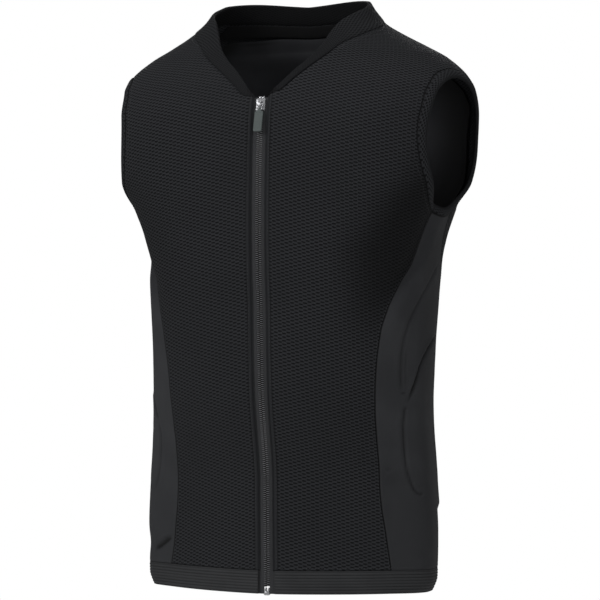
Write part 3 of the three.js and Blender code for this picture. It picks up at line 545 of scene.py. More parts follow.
def drawnIn(grid, left=0.0, right=0.0, top=0.0):
    # moves a grid's borders in by lengths, or out where they are below nought
    grid = grid.copy()

    def pull(edge, beside, amount):
        step = beside - edge
        return edge + step / np.linalg.norm(step, axis=-1, keepdims=True) * amount

    grid[:, 0] = pull(grid[:, 0], grid[:, 1], left)
    grid[:, -1] = pull(grid[:, -1], grid[:, -2], right)
    grid[-1] = pull(grid[-1], grid[-2], top)
    return grid


def flatArea(points):  # in square metres, from the two diagonals of each cell
    a, b = points[1:, 1:] - points[:-1, :-1], points[1:, :-1] - points[:-1, 1:]
    return float(np.linalg.norm(np.cross(a, b), axis=-1).sum() / 2e6)


def declareSheet(points):
    # the rectangle that the cloth is cut from is as wide and as long as its longest row and column
    width = float(runAlong(points, 1)[:, -1].max()) / 1000
    length = float(runAlong(points, 0)[-1].max()) / 1000
    flatArea(points)


class Wire:  # a socket in a material; an expression on wires adds Math nodes
    def __init__(self, paint, socket):
        self.paint, self.socket = paint, socket

    def __add__(self, other):
        return self.paint.maths("ADD", self, other)

    def __mul__(self, other):
        return self.paint.maths("MULTIPLY", self, other)

    def __sub__(self, other):
        return self.paint.maths("SUBTRACT", self, other)

    def __rsub__(self, other):
        return self.paint.maths("SUBTRACT", other, self)

    def __truediv__(self, other):
        return self.paint.maths("DIVIDE", self, other)

    def __pow__(self, other):
        return self.paint.maths("POWER", self, other)

    __radd__ = __add__
    __rmul__ = __mul__


class Paint:  # a material on one Principled shader
    def __init__(self, name, **constants):
        self.material = bpy.data.materials.new(name)
        self.material.use_nodes = True
        self.tree = self.material.node_tree
        self.shader = self.tree.nodes["Principled BSDF"]
        for key, value in constants.items():
            self.shader.inputs[key.replace("_", " ")].default_value = value

    def add(self, kind, settings=None, inputs=None, output=0):
        node = self.tree.nodes.new("ShaderNode" + kind)
        for key, value in (settings or {}).items():
            setattr(node, key, value)
        for key, value in (inputs or {}).items():
            self.join(value, node.inputs[key])
        return Wire(self, node.outputs[output])

    def join(self, value, socket):
        if isinstance(value, Wire):
            self.tree.links.new(value.socket, socket)
        else:
            socket.default_value = value

    def maths(self, operation, *values):
        return self.add("Math", {"operation": operation}, dict(enumerate(values)))

    def between(self, value, low, high):  # a smooth step from 0 at low to 1 at high
        return self.add("MapRange", {"interpolation_type": "SMOOTHSTEP"}, {0: value, 1: low, 2: high})

    def blend(self, factor, first, second):  # colours mixed by a factor
        return self.add("Mix", {"data_type": "RGBA"}, {0: factor, 6: first, 7: second}, output=2)

    def noise(self, place, scale, detail=2.0):
        return self.add("TexNoise", {}, {"Vector": place, "Scale": scale, "Detail": detail})

    def here(self):
        return self.add("TexCoord", output=3)

    def flat(self):  # lengths around and up the cloth in millimetres, from its map
        place = self.add("UVMap", {"uv_map": "cloth"})
        split = self.add("SeparateXYZ", {}, {0: place})
        return split * 1000, Wire(self, split.socket.node.outputs[1]) * 1000

    def value(self, name):
        return self.add("Attribute", {"attribute_name": name}, output=2)

    def bump(self, height, distance):  # distance in metres for a height of 1
        normal = self.add("Bump", {}, {"Height": height, "Distance": distance, "Strength": 1.0})
        self.join(normal, self.shader.inputs["Normal"])

    def feed(self, **inputs):
        for key, value in inputs.items():
            self.join(value, self.shader.inputs[key.replace("_", " ")])
        return self.material


def grey(red, green=None, blue=None):  # sRGB numbers from 0 to 255 as a linear colour
    channels = [red, red if green is None else green, red if blue is None else blue]
    return [((v / 255 + 0.055) / 1.055) ** 2.4 if v > 10 else v / 255 / 12.92 for v in channels] + [1.0]


# The mesh's tone on its ridges is the cloth's own; the near-black tone in its slits is painted shade
meshFinish = {"columnPitch": 4.4, "rowPitch": 3.6, "ridge": (53, 54, 57), "dimpleShade": (16, 17, 19),
              "deep": 0.0011, "slant": 0.14}


def meshPaint(name, columnPitch, rowPitch):
    # slits lie where cos(pi u / column) times cos(2 pi v / row) comes near 1, so that each column of
    # them stands half a step off its neighbours. The first cosine is flattened to make them wide,
    # and the rows slant away from the middle on both sides
    paint = Paint(name, Roughness=0.85, Specular_IOR_Level=0.15)
    here = paint.here()
    u, v = paint.flat()
    u = u + (paint.noise(here, 90) - 0.5) * 0.9
    v = v + (paint.noise(here, 140) - 0.5) * 0.7 + paint.maths("ABSOLUTE", u) * meshFinish["slant"]
    column = paint.maths("COSINE", u * (math.pi / columnPitch))
    column = column / (paint.maths("ABSOLUTE", column) + 0.03) ** 0.55
    cell = column * paint.maths("COSINE", v * (2 * math.pi / rowPitch))
    plain = paint.value("plain")
    hole = paint.between(cell, -0.1, 0.8) * (1 - plain)
    yarn = paint.noise(here, 1900, 3)
    soft = paint.noise(here, 14, 3)
    darker, lighter = (grey(*[part + shift for part in meshFinish["ridge"]]) for shift in (-4, 4))
    tone = paint.blend(soft, darker, lighter)
    tone = paint.blend(paint.between(yarn, 0.35, 0.75) * 0.35, tone, grey(30, 31, 33))
    tone = paint.blend(plain * 0.5, tone, grey(38, 39, 41))
    # painted shade in the slits of the mesh
    tone = paint.blend(hole * 0.95, tone, grey(*meshFinish["dimpleShade"]))
    # painted shade read from the shade attribute
    tone = paint.blend(paint.value("shade"), tone, grey(6))
    paint.bump(cell * (0.25 - 0.25 * plain) - hole + yarn * 0.25, meshFinish["deep"])
    return paint.feed(Base_Color=tone)


def jerseyPaint(name, light, dark, wale=0.62, relief=0.00012):
    # fine knit: wales run up the cloth at the given spacing, with a finer course across them
    paint = Paint(name, Roughness=0.8, Specular_IOR_Level=0.3)
    here = paint.here()
    u, v = paint.flat()
    wales = paint.maths("SINE", u * (2 * math.pi / wale))
    courses = paint.maths("SINE", v * (2 * math.pi / (wale * 0.8)))
    knit = wales * 0.3 + courses * 0.2
    fuzz = paint.noise(here, 1300, 3)
    soft = paint.noise(here, 18, 3)
    tone = paint.blend(paint.between(soft, 0.3, 0.7), grey(*dark), grey(*light))
    tone = paint.blend(paint.between(fuzz, 0.45, 0.75) * 0.4, tone, grey(*[v * 0.8 for v in dark]))
    # painted shade read from the shade attribute
    tone = paint.blend(paint.value("shade"), tone, grey(5))
    paint.bump(knit + fuzz * 0.8, relief)
    return paint.feed(Base_Color=tone)


def metalPaint(name, tone, roughness):  # fine brushed lines and a few darker scuffs
    paint = Paint(name, Metallic=0.85)
    here = paint.here()
    lines = paint.noise(paint.add("Mapping", {}, {0: here, 3: (6000.0, 6000.0, 700.0)}), 1.0, 2)
    scuffs = paint.between(paint.noise(here, 600, 4), 0.55, 0.75)
    paint.bump(lines + scuffs * 0.5, 0.000004)
    return paint.feed(Base_Color=paint.blend(scuffs * 0.35, grey(*tone), grey(*[v * 0.7 for v in tone])),
                      Roughness=roughness + scuffs * 0.15)


def plainPaint(name, light, dark, roughness, scale=900, relief=0.00006):
    # a mottled grain of two near tones
    paint = Paint(name, Specular_IOR_Level=0.35)
    here = paint.here()
    grain = paint.noise(here, scale, 3)
    tone = paint.blend(grain, grey(*dark), grey(*light))
    # painted shade read from the shade attribute
    tone = paint.blend(paint.value("shade"), tone, grey(4))
    paint.bump(grain, relief)
    return paint.feed(Base_Color=tone, Roughness=roughness + grain * 0.15)


def tapePaint(name, light, dark):  # herringbone: the slant of the fine ribs turns every 2 mm
    paint = Paint(name, Roughness=0.75, Specular_IOR_Level=0.3)
    here = paint.here()
    u, v = paint.flat()
    slant = paint.maths("PINGPONG", u, 1.0)
    ribs = paint.maths("SINE", (v + slant * 1.2) * (2 * math.pi / 0.8))
    fuzz = paint.noise(here, 1500, 2)
    tone = paint.blend(ribs * 0.35 + fuzz * 0.5, grey(*dark), grey(*light))
    paint.bump(ribs * 0.5 + fuzz * 0.5, 0.00012)
    return paint.feed(Base_Color=tone)


paints = {
    "mesh": meshPaint("black mesh cloth", meshFinish["columnPitch"], meshFinish["rowPitch"]),
    "collar": meshPaint("collar mesh cloth", 3.2, 3.0),
    "binding": meshPaint("armhole mesh cloth", 2.6, 2.3),
    "side": jerseyPaint("smooth side cloth", (58, 59, 62), (50, 51, 54)),
    "rib": jerseyPaint("ribbed hem cloth", (60, 61, 63), (50, 51, 53), 0.9),
    "inner": jerseyPaint("inner cloth", (60, 61, 65), (48, 49, 53), 1.1),
    "facing": tapePaint("neck tape weave", (15, 16, 18), (8, 8, 10)),
    "tape": tapePaint("zip tape weave", (82, 83, 86), (46, 47, 49)),
    "foam": plainPaint("pad foam", (62, 64, 66), (50, 52, 54), 0.8),
    "teeth": plainPaint("dark zip teeth", (150, 151, 155), (118, 119, 123), 0.3),
    "silver": metalPaint("silver metal", (186, 187, 190), 0.27),
    "tab": plainPaint("grey green rubber", (93, 101, 100), (80, 87, 86), 0.5, 500),
    "thread": plainPaint("black thread", (64, 65, 68), (42, 43, 45), 0.6, 3000),
}
print("materials:", len(paints))


# The front and back panels of mesh cloth
panel = {"rows": 236, "columns": 74, "backColumns": 58, "overlap": 0.15, "edgeWidth": 2.6, "edgeDrop": 1.3,
         "wave": 1.3, "foldWidth": 3.4, "reachLeft": 2.3, "reachRight": 1.5,
         "fill": (60, 44, 20, 14), "lowPart": 0.62}
# A soft shadow beside the upper side seam: how dark it is, and its share on all but the left front;
# the turn where it is full and how that moves back above a height; how wide it fades; and the
# heights between which it comes and goes
seamShadow = {"dark": 0.6, "elsewhere": 0.3, "turn": 47, "lean": 115, "above": 0.6, "fade": 23,
              "low": 0.4, "full": 0.58, "high": 0.92, "highFade": 0.16, "back": 100}


def panelPlaces(side, columns):
    places = fillPanel(side, panel["fill"])
    share = panel["fill"][0] / (len(places) - 1)  # at the armpit
    low = crowded(int(panel["rows"] * panel["lowPart"]), 0.7, 0)
    high = crowded(int(panel["rows"] * (1 - panel["lowPart"])), 0, 0.75)
    rows = np.concatenate([low * share, share + high[1:] * (1 - share)])
    places = spread(rows, places)
    return spread(crowded(columns, 0.75, 0.75), places.transpose(1, 0, 2)).transpose(1, 0, 2)


def clothWaves(flat, seed):  # broad and finer ripples of worn cloth
    return (ripple(flat, 62, seed) * 0.65 + ripple(flat, 27, seed + 1) * 0.25
            + ripple(flat, 11, seed + 2) * 0.1)


def seamShade(turn, at):
    full = seamShadow["turn"] + seamShadow["lean"] * np.maximum(at - seamShadow["above"], 0)
    across = ease(np.abs(turn) - full, -seamShadow["fade"], 0)
    up = ease(at, seamShadow["low"], seamShadow["full"])
    shadow = seamShadow["dark"] * across * up * ease(seamShadow["high"] - at, 0, seamShadow["highFade"])
    return np.where(np.abs(turn) < seamShadow["back"], shadow, 0)


def dressPanel(name, node, places, flat, seed, zipSide=None):
    left, right, bottom, top = edgeRuns(places)
    nearest = np.minimum.reduce([left, right, bottom, top])
    if zipSide is not None:
        nearest = np.minimum(np.minimum(bottom, top), right if zipSide == "left" else left)
    sink = rolled(nearest, panel["edgeWidth"], panel["edgeDrop"])
    # painted shade along the borders, and the painted shadow beside the side seam
    shadow = seamShade(places[..., 0], places[..., 1])
    if zipSide != "left":
        shadow = shadow * seamShadow["elsewhere"]
    shade = np.maximum(0.9 * np.exp(-(nearest / 0.8) ** 2), shadow)
    plain = np.zeros(left.shape)
    if zipSide is not None:  # the folded band beside the zip, with its stitch line and its rounded edge
        beside = left if zipSide == "left" else right
        fold = panel["foldWidth"]
        plain = 1 - ease(beside, fold - 0.4, fold + 0.4)
        sink = np.maximum(sink, rolled(beside, 1.6, 1.1)) + 0.5 * np.exp(-((beside - fold) / 0.7) ** 2)
        # painted shade in the groove at the folded band's inner edge
        shade = np.maximum(shade, 0.6 * np.exp(-((beside - fold) / 0.5) ** 2))
    wave = clothWaves(flat, seed) * panel["wave"] * ease(nearest, 0, 14)
    over = -panel["overlap"]
    # the folded edge stands out over the tape a little more than the solid's does
    borders = {"top": over, "left": -panel["reachLeft"] if zipSide == "left" else over,
               "right": -panel["reachRight"] if zipSide == "right" else over}
    outer = drawnIn(clothPoint(places[..., 0], places[..., 1], sink - wave * 0.6), **borders)
    inner = drawnIn(clothPoint(places[..., 0], places[..., 1], walls["mesh"] - 0.25 * sink), **borders)
    piece = layered(name, outer, inner, paints["mesh"], node, flat, {"plain": plain, "shade": shade})
    declareSheet(outer)


def frontFlat(places):
    return flatPlace(places[..., 0], places[..., 1])


def backFlat(places):  # measured around from the centre back
    flat = frontFlat(places)
    half = flatPlace(180.0, places[..., 1])[..., 0]
    flat[..., 0] -= np.sign(places[..., 0]) * half
    return flat


frontPlaces = panelPlaces("front", panel["columns"])
dressPanel("front_mesh_left", "front_panel_left", frontPlaces, frontFlat(frontPlaces), 11, "left")
otherPlaces = mirrored(frontPlaces)
dressPanel("front_mesh_right", "front_panel_right", otherPlaces, frontFlat(otherPlaces), 23, "right")
backHalf = panelPlaces("back", panel["backColumns"])
backPlaces = np.concatenate([backHalf[:, ::-1], mirrored(backHalf)[:, ::-1][:, 1:]], 1)
dressPanel("back_mesh", "back_panel", backPlaces, backFlat(backPlaces), 37)
print("mesh panels made")


# The smooth side panels, with the creases of worn cloth. Each crease is a line of places, given by
# turn and at, then its width, its depth, the swell of the lip on its front side, the step up on its
# other side, how dark the painted shade in it is, and the shares over which its two ends fade
sidePanel = {"rows": 330, "columns": 92, "overlap": 0.15, "edgeWidth": 2.2, "edgeDrop": 0.9,
             "wave": 0.5, "dark": 0.2}
creaseLines = {
    "left": [
        ([(105, 0.445), (94.6, 0.4355), (86.8, 0.4239), (80.7, 0.4081), (77.4, 0.3925), (74.8, 0.3708),
          (72.4, 0.3529), (70.1, 0.3371), (68.7, 0.3273)], 1.7, 2.5, 1.1, 1.8, 1.0, (0.05, 0.2)),
        ([(68.7, 0.3273), (67.4, 0.3167), (67.1, 0.2923), (67.9, 0.2636), (68.6, 0.2413), (69.5, 0.2212),
          (70.9, 0.2033), (72.3, 0.1919), (73.4, 0.181)], 1.8, 1.0, 0.5, 1.0, 0.5, (0.06, 0.05)),
        ([(72.3, 0.1919), (73.4, 0.181), (75, 0.1744), (77.2, 0.1717), (79.9, 0.1742)],
         1.5, 1.2, 0.5, 0.3, 0.7, (0.3, 0.2)),
        ([(101.5, 0.5768), (91.7, 0.5585), (81.5, 0.5338), (74, 0.5118), (68.8, 0.4904), (65.6, 0.4702),
          (63.6, 0.4445), (63.1, 0.4208), (63.4, 0.395), (63.9, 0.3752), (64.9, 0.3494)],
         1.9, 0.8, 0.5, 0.9, 0.4, (0.1, 0.06)),
        ([(65.6, 0.4317), (65.7, 0.4058), (66.3, 0.3799), (67.6, 0.3539)], 1.3, 0.4, 0.2, 0.2, 0.25, (0.3, 0.3)),
        ([(64.7, 0.3483), (68.1, 0.3482)], 1.0, 0.7, 0.0, 0.0, 0.6, (0.2, 0.2)),
        ([(57.9, 0.2152), (64.1, 0.2149)], 2.2, 0.9, 0.6, 0.0, 0.2, (0.4, 0.5)),
        ([(60.7, 0.039), (69.8, 0.0386), (82.7, 0.0398)], 1.1, 0.7, 0.5, 0.0, 0.55, (0.05, 0.1)),
        ([(74.1, 0.0704), (79, 0.063), (89.1, 0.0508)], 4.0, 1.0, 0.8, 0.0, 0.1, (0.4, 0.4)),
    ],
    "right": [
        ([(-77, 0.3513), (-72.6, 0.3316), (-69.7, 0.3092), (-67.7, 0.2944)], 1.7, 1.4, 0.7, 1.0, 0.7, (0.2, 0.2)),
        ([(-67.7, 0.2944), (-66.8, 0.272), (-68, 0.2468), (-69.9, 0.2163), (-71.7, 0.191), (-73.8, 0.1731),
          (-75.8, 0.1652)], 1.9, 0.7, 0.4, 0.7, 0.3, (0.1, 0.2)),
        ([(-74.8, 0.0632), (-69.8, 0.0706), (-64.9, 0.0818), (-60.7, 0.0904)], 2.5, 2.3, 1.6, 0.0, 0.8, (0.2, 0.3)),
    ],
}


def sidePlaces():
    low, high = armpitFront[1], armpitBack[1]
    share = crowded(sidePanel["rows"], 0.8, 0.8)[:, None]
    frontAt = hemTop + (low - hemTop) * share
    backAt = hemTop + (high - hemTop) * share
    across = crowded(sidePanel["columns"], 0.7, 0.7)[None]
    turn = sideSeam("front", frontAt) * (1 - across) + sideSeam("back", backAt) * across
    at = frontAt * (1 - across) + backAt * across
    # the top follows the armhole's lower edge, and the rows below it ease towards it
    edge = placesOf(*armholePlace(armhole["front"] + (armhole["back"] - armhole["front"]) * across[0]))
    pull = ease(share, 0.86, 1)
    places = placesOf(turn, at)
    return places + pull[..., None] * (edge[None] - places[-1][None])


def lineDistance(flat, line):
    # the distance from each point to a line of straight stretches, with the share of the line
    # that its nearest point lies at
    start, step = line[:-1], np.diff(line, axis=0)
    length = np.linalg.norm(step, axis=1)
    run = np.concatenate([[0], np.cumsum(length)])
    best = np.full(flat.shape[:-1], 1e9)
    share, side = np.zeros(best.shape), np.zeros(best.shape)
    for a, d, long, before in zip(start, step, length, run):
        away = flat - a
        t = np.clip((away @ d) / long ** 2, 0, 1)
        gap = np.linalg.norm(away - t[..., None] * d, axis=-1)
        closer = gap < best
        best = np.where(closer, gap, best)
        share = np.where(closer, (before + t * long) / run[-1], share)
        side = np.where(closer, np.sign(away[..., 0] * d[1] - away[..., 1] * d[0]), side)
    return best, share, side


def creaseRelief(flat, lines):
    # each crease is a groove e^-(d/wide)^2 with a swelling lip on its front side and on the other
    # side a step that dies away as e^-(d/18), and it fades towards both ends
    lift, shade = np.zeros(flat.shape[:-1]), np.zeros(flat.shape[:-1])
    for rows, wide, deep, lip, step, dark, ends in lines:
        line = flatPlace(*np.array(rows, float).T)
        gap, share, which = lineDistance(flat, line)
        which = which * np.sign(line[:, 0].mean())
        taper = ease(share, 0, ends[0]) * ease(1 - share, 0, ends[1])
        groove = np.exp(-(gap / wide) ** 2)
        ridge = np.exp(-((gap * which - 2.4 * wide) / (1.6 * wide)) ** 2)
        behind = (which < 0) * np.exp(-gap / 18) * (1 - groove)
        lift += taper * (lip * ridge - deep * groove + step * behind)
        # painted shade along the crease
        shade = np.maximum(shade, dark * taper * np.exp(-(gap / (0.75 * wide)) ** 2))
    return lift, shade


def dressSide(name, node, places, lines, seed, darker=0.0):
    left, right, bottom, top = edgeRuns(places)
    nearest = np.minimum.reduce([left, right, bottom, top])
    flat = frontFlat(places)
    lift, shade = creaseRelief(flat, lines)
    # painted shade low down and towards the back
    low, rear = ease(0.3 - places[..., 1], 0, 0.16), ease(places[..., 0], 72, 84)
    shade = np.maximum(shade, darker * np.maximum(low, rear))
    inside = ease(nearest, 0, 10)
    lift = lift * ease(nearest, 0, 3) + clothWaves(flat, seed) * sidePanel["wave"] * inside
    sink = rolled(nearest, sidePanel["edgeWidth"], sidePanel["edgeDrop"])
    # painted shade along the borders, wider along the top beneath the binding
    shade = np.maximum.reduce([shade, 0.9 * np.exp(-(nearest / 0.6) ** 2),
                               0.9 * np.exp(-(top / 1.5) ** 2)])
    borders = {"left": -sidePanel["overlap"], "right": -sidePanel["overlap"]}
    outer = drawnIn(clothPoint(places[..., 0], places[..., 1], sink - lift), **borders)
    depth = walls["side"] - np.clip(lift, -1.6, 0.8)
    inner = drawnIn(clothPoint(places[..., 0], places[..., 1], depth), **borders)
    piece = layered(name, outer, inner, paints["side"], node, flat, {"shade": shade})
    declareSheet(outer)


leftSide = sidePlaces()
# the wearer's left piece also gets painted shade low down and towards the back
dressSide("side_cloth_left", "side_panel_left", leftSide, creaseLines["left"], 51, sidePanel["dark"])
dressSide("side_cloth_right", "side_panel_right", mirrored(leftSide), creaseLines["right"], 67)
print("side panels made")


# Bands of knit cloth: the ribbed hem, the collar and the bindings of the armholes
hem = {"ribs": 8, "ribDepth": 0.7, "roll": 0.3, "columns": 300, "outside": 71, "inside": 16,
       "power": 0.3}
collar = {"roll": 1.5, "columns": 220, "profile": 36, "overlap": 0.6}
binding = {"roll": 0.7, "tuck": 1.5, "columns": 200, "profile": 28}


def bandLoop(count, power):
    # a closed profile of shares across the band and through it, both from 0 to 1
    loop = roundedLoop(0.5, 0.5, count, power) + 0.5
    return loop[:, :1], loop[:, 1:]


def bandPiece(name, node, points, paint, flat, closed=False, shade=None):
    faces, caps = tubeFaces(*points.shape[:2], closed)
    values = None if shade is None else {"shade": np.broadcast_to(shade, points.shape[:2])}
    piece = makePiece(name, points.reshape(-1, 3), faces, paint, node, flat.reshape(-1, 2), values,
                      caps=caps)


def addHem():
    start = float(turnAtSide(zipSize["shown"], hemTop * 0.5))
    turns = np.linspace(start, 360 - start, hem["columns"])[None]
    turns = np.where(turns > 180, turns - 360, turns)
    # the same rounded profile with evenly spaced shares, more of them on the ribbed outside
    outwards, inwards = np.linspace(0, 1, hem["outside"]), np.linspace(1, 0, hem["inside"])[1:-1]
    share = np.concatenate([outwards, inwards])[:, None]
    reach = np.abs(2 * share - 1) ** (1 / hem["power"])
    sign = np.where(np.arange(len(share)) < hem["outside"], -1, 1)[:, None]
    through = 0.5 + 0.5 * sign * (1 - reach ** 2) ** (hem["power"] / 2)
    at = np.broadcast_to(share, (len(share), hem["columns"])) * (hemTop + 0.3 / body["height"])
    first = turnAtSide(zipSize["shown"], at[:, 0])
    turns = np.broadcast_to(turns, at.shape).copy()
    turns[:, 0], turns[:, -1] = first, -first
    rib = hem["ribDepth"] * (np.abs(np.cos(np.pi * hem["ribs"] * share)) ** 0.6 - 0.5)
    outside = ease(1 - through, 0.3, 0.8)
    flat = flatPlace(turns, at)
    waves = clothWaves(flat, 71) * 0.5
    depth = (-hem["roll"] + (walls["hem"] + hem["roll"]) * through + outside * (0.3 - rib)
             - waves * (1 - through))
    points = clothPoint(turns, at, depth)
    flat[..., 0] = np.where(turns < 0, flat[..., 0] + 2 * flatPlace(180.0, at)[..., 0], flat[..., 0])
    # painted shade in the grooves between the ribs
    groove = (1 - np.abs(np.cos(np.pi * hem["ribs"] * share))) ** 2.5 * 0.6 * outside
    bandPiece("hem_rib", "hem_band", points, paints["rib"], flat, shade=groove)


def addCollar():
    start = float(turnAtSide(zipSize["shown"], neckSeam(0)))
    half = start + (180 - start) * crowded(collar["columns"] // 2, 0.85, 0)
    turns = np.concatenate([half, -half[-2::-1]])[None]
    seam, rim = neckSeam(turns), collarRim(turns)
    share, through = bandLoop(collar["profile"], 0.42)
    low = -collar["overlap"] / body["height"]
    at = seam + low + (rim - seam - low) * share
    turns = np.broadcast_to(turns, at.shape)
    run = runAlong(clothPoint(turns[0], seam[0], 0.0), 0)
    # the band thins out and ends in a round where it meets the zip
    end = np.sqrt(ease(np.minimum(run, run[-1] - run), -1.5, 13))
    at = seam + low + (at - seam - low) * end
    depth = -collar["roll"] * end + (walls["collar"] + collar["roll"]) * through
    points = clothPoint(turns, at, depth)
    around = np.broadcast_to(run, at.shape)
    over = np.concatenate([[0], np.cumsum(np.linalg.norm(np.diff(points[:, 60], axis=0), axis=-1))])
    flat = np.stack([around, np.broadcast_to(over[:, None], at.shape)], -1)
    # the band is darker all over, and painted shade darkens its inside further
    bandPiece("collar_knit", "collar", points, paints["collar"], flat,
              shade=0.3 + 0.35 * ease(through, 0.5, 0.9))


def addBinding(name, node, sign):
    angles = (armhole["front"] + 360 * np.arange(binding["columns"]) / binding["columns"])[None]
    share, through = bandLoop(binding["profile"], 0.5)
    inset = share * armhole["binding"] - 0.3
    angles = np.broadcast_to(angles, (binding["profile"], binding["columns"]))
    turns, at = armholePlace(angles, inset)
    bend = np.sin(np.pi * np.clip(share, 0, 1)) ** 0.5
    depth = (-binding["roll"] * bend + binding["tuck"] * share ** 2
             + (walls["binding"] + 0.6 * binding["roll"] * bend) * through)
    points = clothPoint(sign * turns, at, depth)
    run = np.radians(angles) * (armhole["halfWidth"] + armhole["halfHeight"]) / 2
    flat = np.stack([run, np.broadcast_to(share * armhole["binding"] + through * 20, at.shape)], -1)
    # a dark line at the seam and a darker inside, both painted shade, and four fainter lines across the outside
    lines = 0.3 * (0.5 - 0.5 * np.cos(share * 2 * np.pi * 4)) * ease(0.5 - through, 0, 0.3)
    shade = np.maximum(0.9 * np.exp(-(share / 0.12) ** 2), lines) + 0.5 * ease(through, 0.5, 0.9)
    bandPiece(name, node, points, paints["binding"], flat, True, shade)


def addNeckTape():
    half = facing["turn"] + (180 - facing["turn"]) * np.linspace(0, 1, 50)
    turns = np.concatenate([half, -half[-2::-1]])[None]
    share, through = bandLoop(28, 0.45)
    at = neckSeam(turns) - (0.4 + (1 - share) * (facing["height"] - 0.4)) / body["height"]
    turns = np.broadcast_to(turns, at.shape)
    depth = walls["mesh"] + facing["seat"] + walls["facing"] * (through + 0.15 * np.sin(np.pi * share))
    points = clothPoint(turns, at, depth)
    flat = backFlat(placesOf(turns, at))
    bandPiece("neck_tape", "neck_facing", points, paints["facing"], flat)


addHem()
addCollar()
addBinding("armhole_tape_left", "armhole_binding_left", 1)
addBinding("armhole_tape_right", "armhole_binding_right", -1)
addNeckTape()
print("bands made")


# The protector inside the back and the lining that holds it
lining = {"rows": 150, "columns": 70, "padRows": 110, "padColumns": 56, "padTop": 0.945,
          "padLow": 0.09, "padShare": 0.8}


def innerPlaces(columns, rows, border):
    # turns run from the centre back to the pad's edge, and with a border on to the lining's edge
    part = np.linspace(0, 1, columns + 1)[None]
    if not border:
        at = np.linspace(lining["padLow"], lining["padTop"], rows + 1)[:, None]
        return placesOf(180 - (180 - padEdge(at)) * part, at)
    top = neckSeam(180 + (liningSize["endTurn"] - 180) * part) - (
        facing["height"] + liningSize["gap"] + liningSize["drop"] * part) / body["height"]
    low = hemTop + liningSize["gap"] / body["height"]
    level = np.linspace(0, 1, rows + 1)[:, None]
    split = (lining["padTop"] - low) / (float(neckSeam(180.0)) - low)
    at = np.where(level < split, low + (lining["padTop"] - low) * level / split,
                  lining["padTop"] + (top - lining["padTop"]) * (level - split) / (1 - split))
    inner = np.clip(part / lining["padShare"], 0, 1)
    outer = np.clip((part - lining["padShare"]) / (1 - lining["padShare"]), 0, 1)
    turn = 180 - (180 - padEdge(at)) * inner + (liningEdge(at) - padEdge(at)) * outer
    return placesOf(turn, at)


def bothHalves(half):  # half runs from the centre back to the wearer's left
    return np.concatenate([half[:, ::-1], (half * [-1, 1])[:, 1:]], 1)


def padDepth(turn, at):
    return padThick(turn) * padCover(turn, at, padSize["edgeBlend"])


def addPad():
    places = bothHalves(innerPlaces(lining["padColumns"], lining["padRows"], False))
    turn, at = places[..., 0], places[..., 1]
    start = walls["mesh"] + padSize["clearance"]
    outer = clothPoint(turn, at, start)
    inner = clothPoint(turn, at, start + padDepth(turn, at))
    piece = layered("pad_plate", outer, inner, paints["foam"], "protector_pad", backFlat(places))


def addLining():
    places = bothHalves(innerPlaces(lining["columns"], lining["rows"], True))
    turn, at = places[..., 0], places[..., 1]
    nearest = np.minimum.reduce(edgeRuns(places))
    flat = backFlat(places)
    lift = padCover(turn, at, liningSize["lead"])
    depth = (walls["mesh"] + liningSize["seat"] + padDepth(turn, at)
             + (padSize["clearance"] + liningSize["gap"] - liningSize["seat"]) * lift)
    wave = np.abs(clothWaves(flat, 83)) * 1.4 * ease(nearest, 4, 18)
    outer = clothPoint(turn, at, depth + wave * 0.5)
    inner = clothPoint(turn, at, depth + walls["lining"] - rolled(nearest, 1.2, 0.5) + wave)
    # a stitch line beside the border, and painted shade towards the armholes and at the top
    shade = np.maximum.reduce([0.7 * np.exp(-((nearest - 3.5) / 0.7) ** 2),
                               0.84 * ease(154 - np.abs(turn), 0, 24), 0.35 * ease(at, 0.89, 0.97)])
    piece = layered("inner_cloth", outer, inner, paints["inner"], "back_lining", flat, {"shade": shade})
    declareSheet(outer)


addPad()
addLining()
print("pad and lining made")


# The zip. Its line runs straight through the slider and on to the neck
tooth = {"pitch": 1.06, "inner": 0.35, "outer": 2.9, "thick": 1.3, "tall": 0.34, "shadeSheet": 2.9}
sliderShape = {"plateIn": 1.8, "plateOut": 3.1, "bridgeWidth": 1.5, "bridgeLength": 7.2, "hinge": 4.6,
               "bridgeTop": 6.45}
wire = {"radius": 0.55, "reach": 6.4, "arm": 2.75, "corner": 1.1}
tab = {"half": 4.5, "thick": 1.1, "head": 1.9, "headLength": 3.6, "length": 25.0, "corner": 1.6,
       "ribPitch": 1.55, "ribHeight": 0.22}


def zipPoint(x, at, depth):
    base = clothPoint(turnAtSide(x, at), at, 0.0)
    return base - outward(np.zeros(np.shape(at)), at) * np.asarray(depth)[..., None]


chainMiddle = zipSize["tapeDepth"] + zipSize["tapeWall"] / 2
sliderReach = zipSize["sliderLength"] / 2 + zipSize["sliderFit"]
sliderLow = (zipSize["sliderHeight"] - sliderReach) / body["height"]
sliderHigh = (zipSize["sliderHeight"] + sliderReach) / body["height"]
zipTop = float(neckSeam(0.0)) + 0.4 / body["height"]
zipLevels = np.concatenate([np.linspace(0, sliderLow, 190), [sliderHigh, zipTop]])


def zipStrip(x, depth, levels=zipLevels):  # points of a line beside the zip's middle
    return zipPoint(np.full(levels.shape, float(x)), levels, np.full(levels.shape, float(depth)))


def zipFrame(low, high):  # its middle, and its directions across, into the body and up the chain
    start, end = zipStrip(0, chainMiddle, np.array([low, high]))
    up = (end - start) / np.linalg.norm(end - start)
    across = np.array([1.0, 0, 0])
    return (start + end) / 2, np.stack([across, np.cross(up, across), up])


def setIn(frame, local):
    return frame[0] + np.asarray(local) @ frame[1]


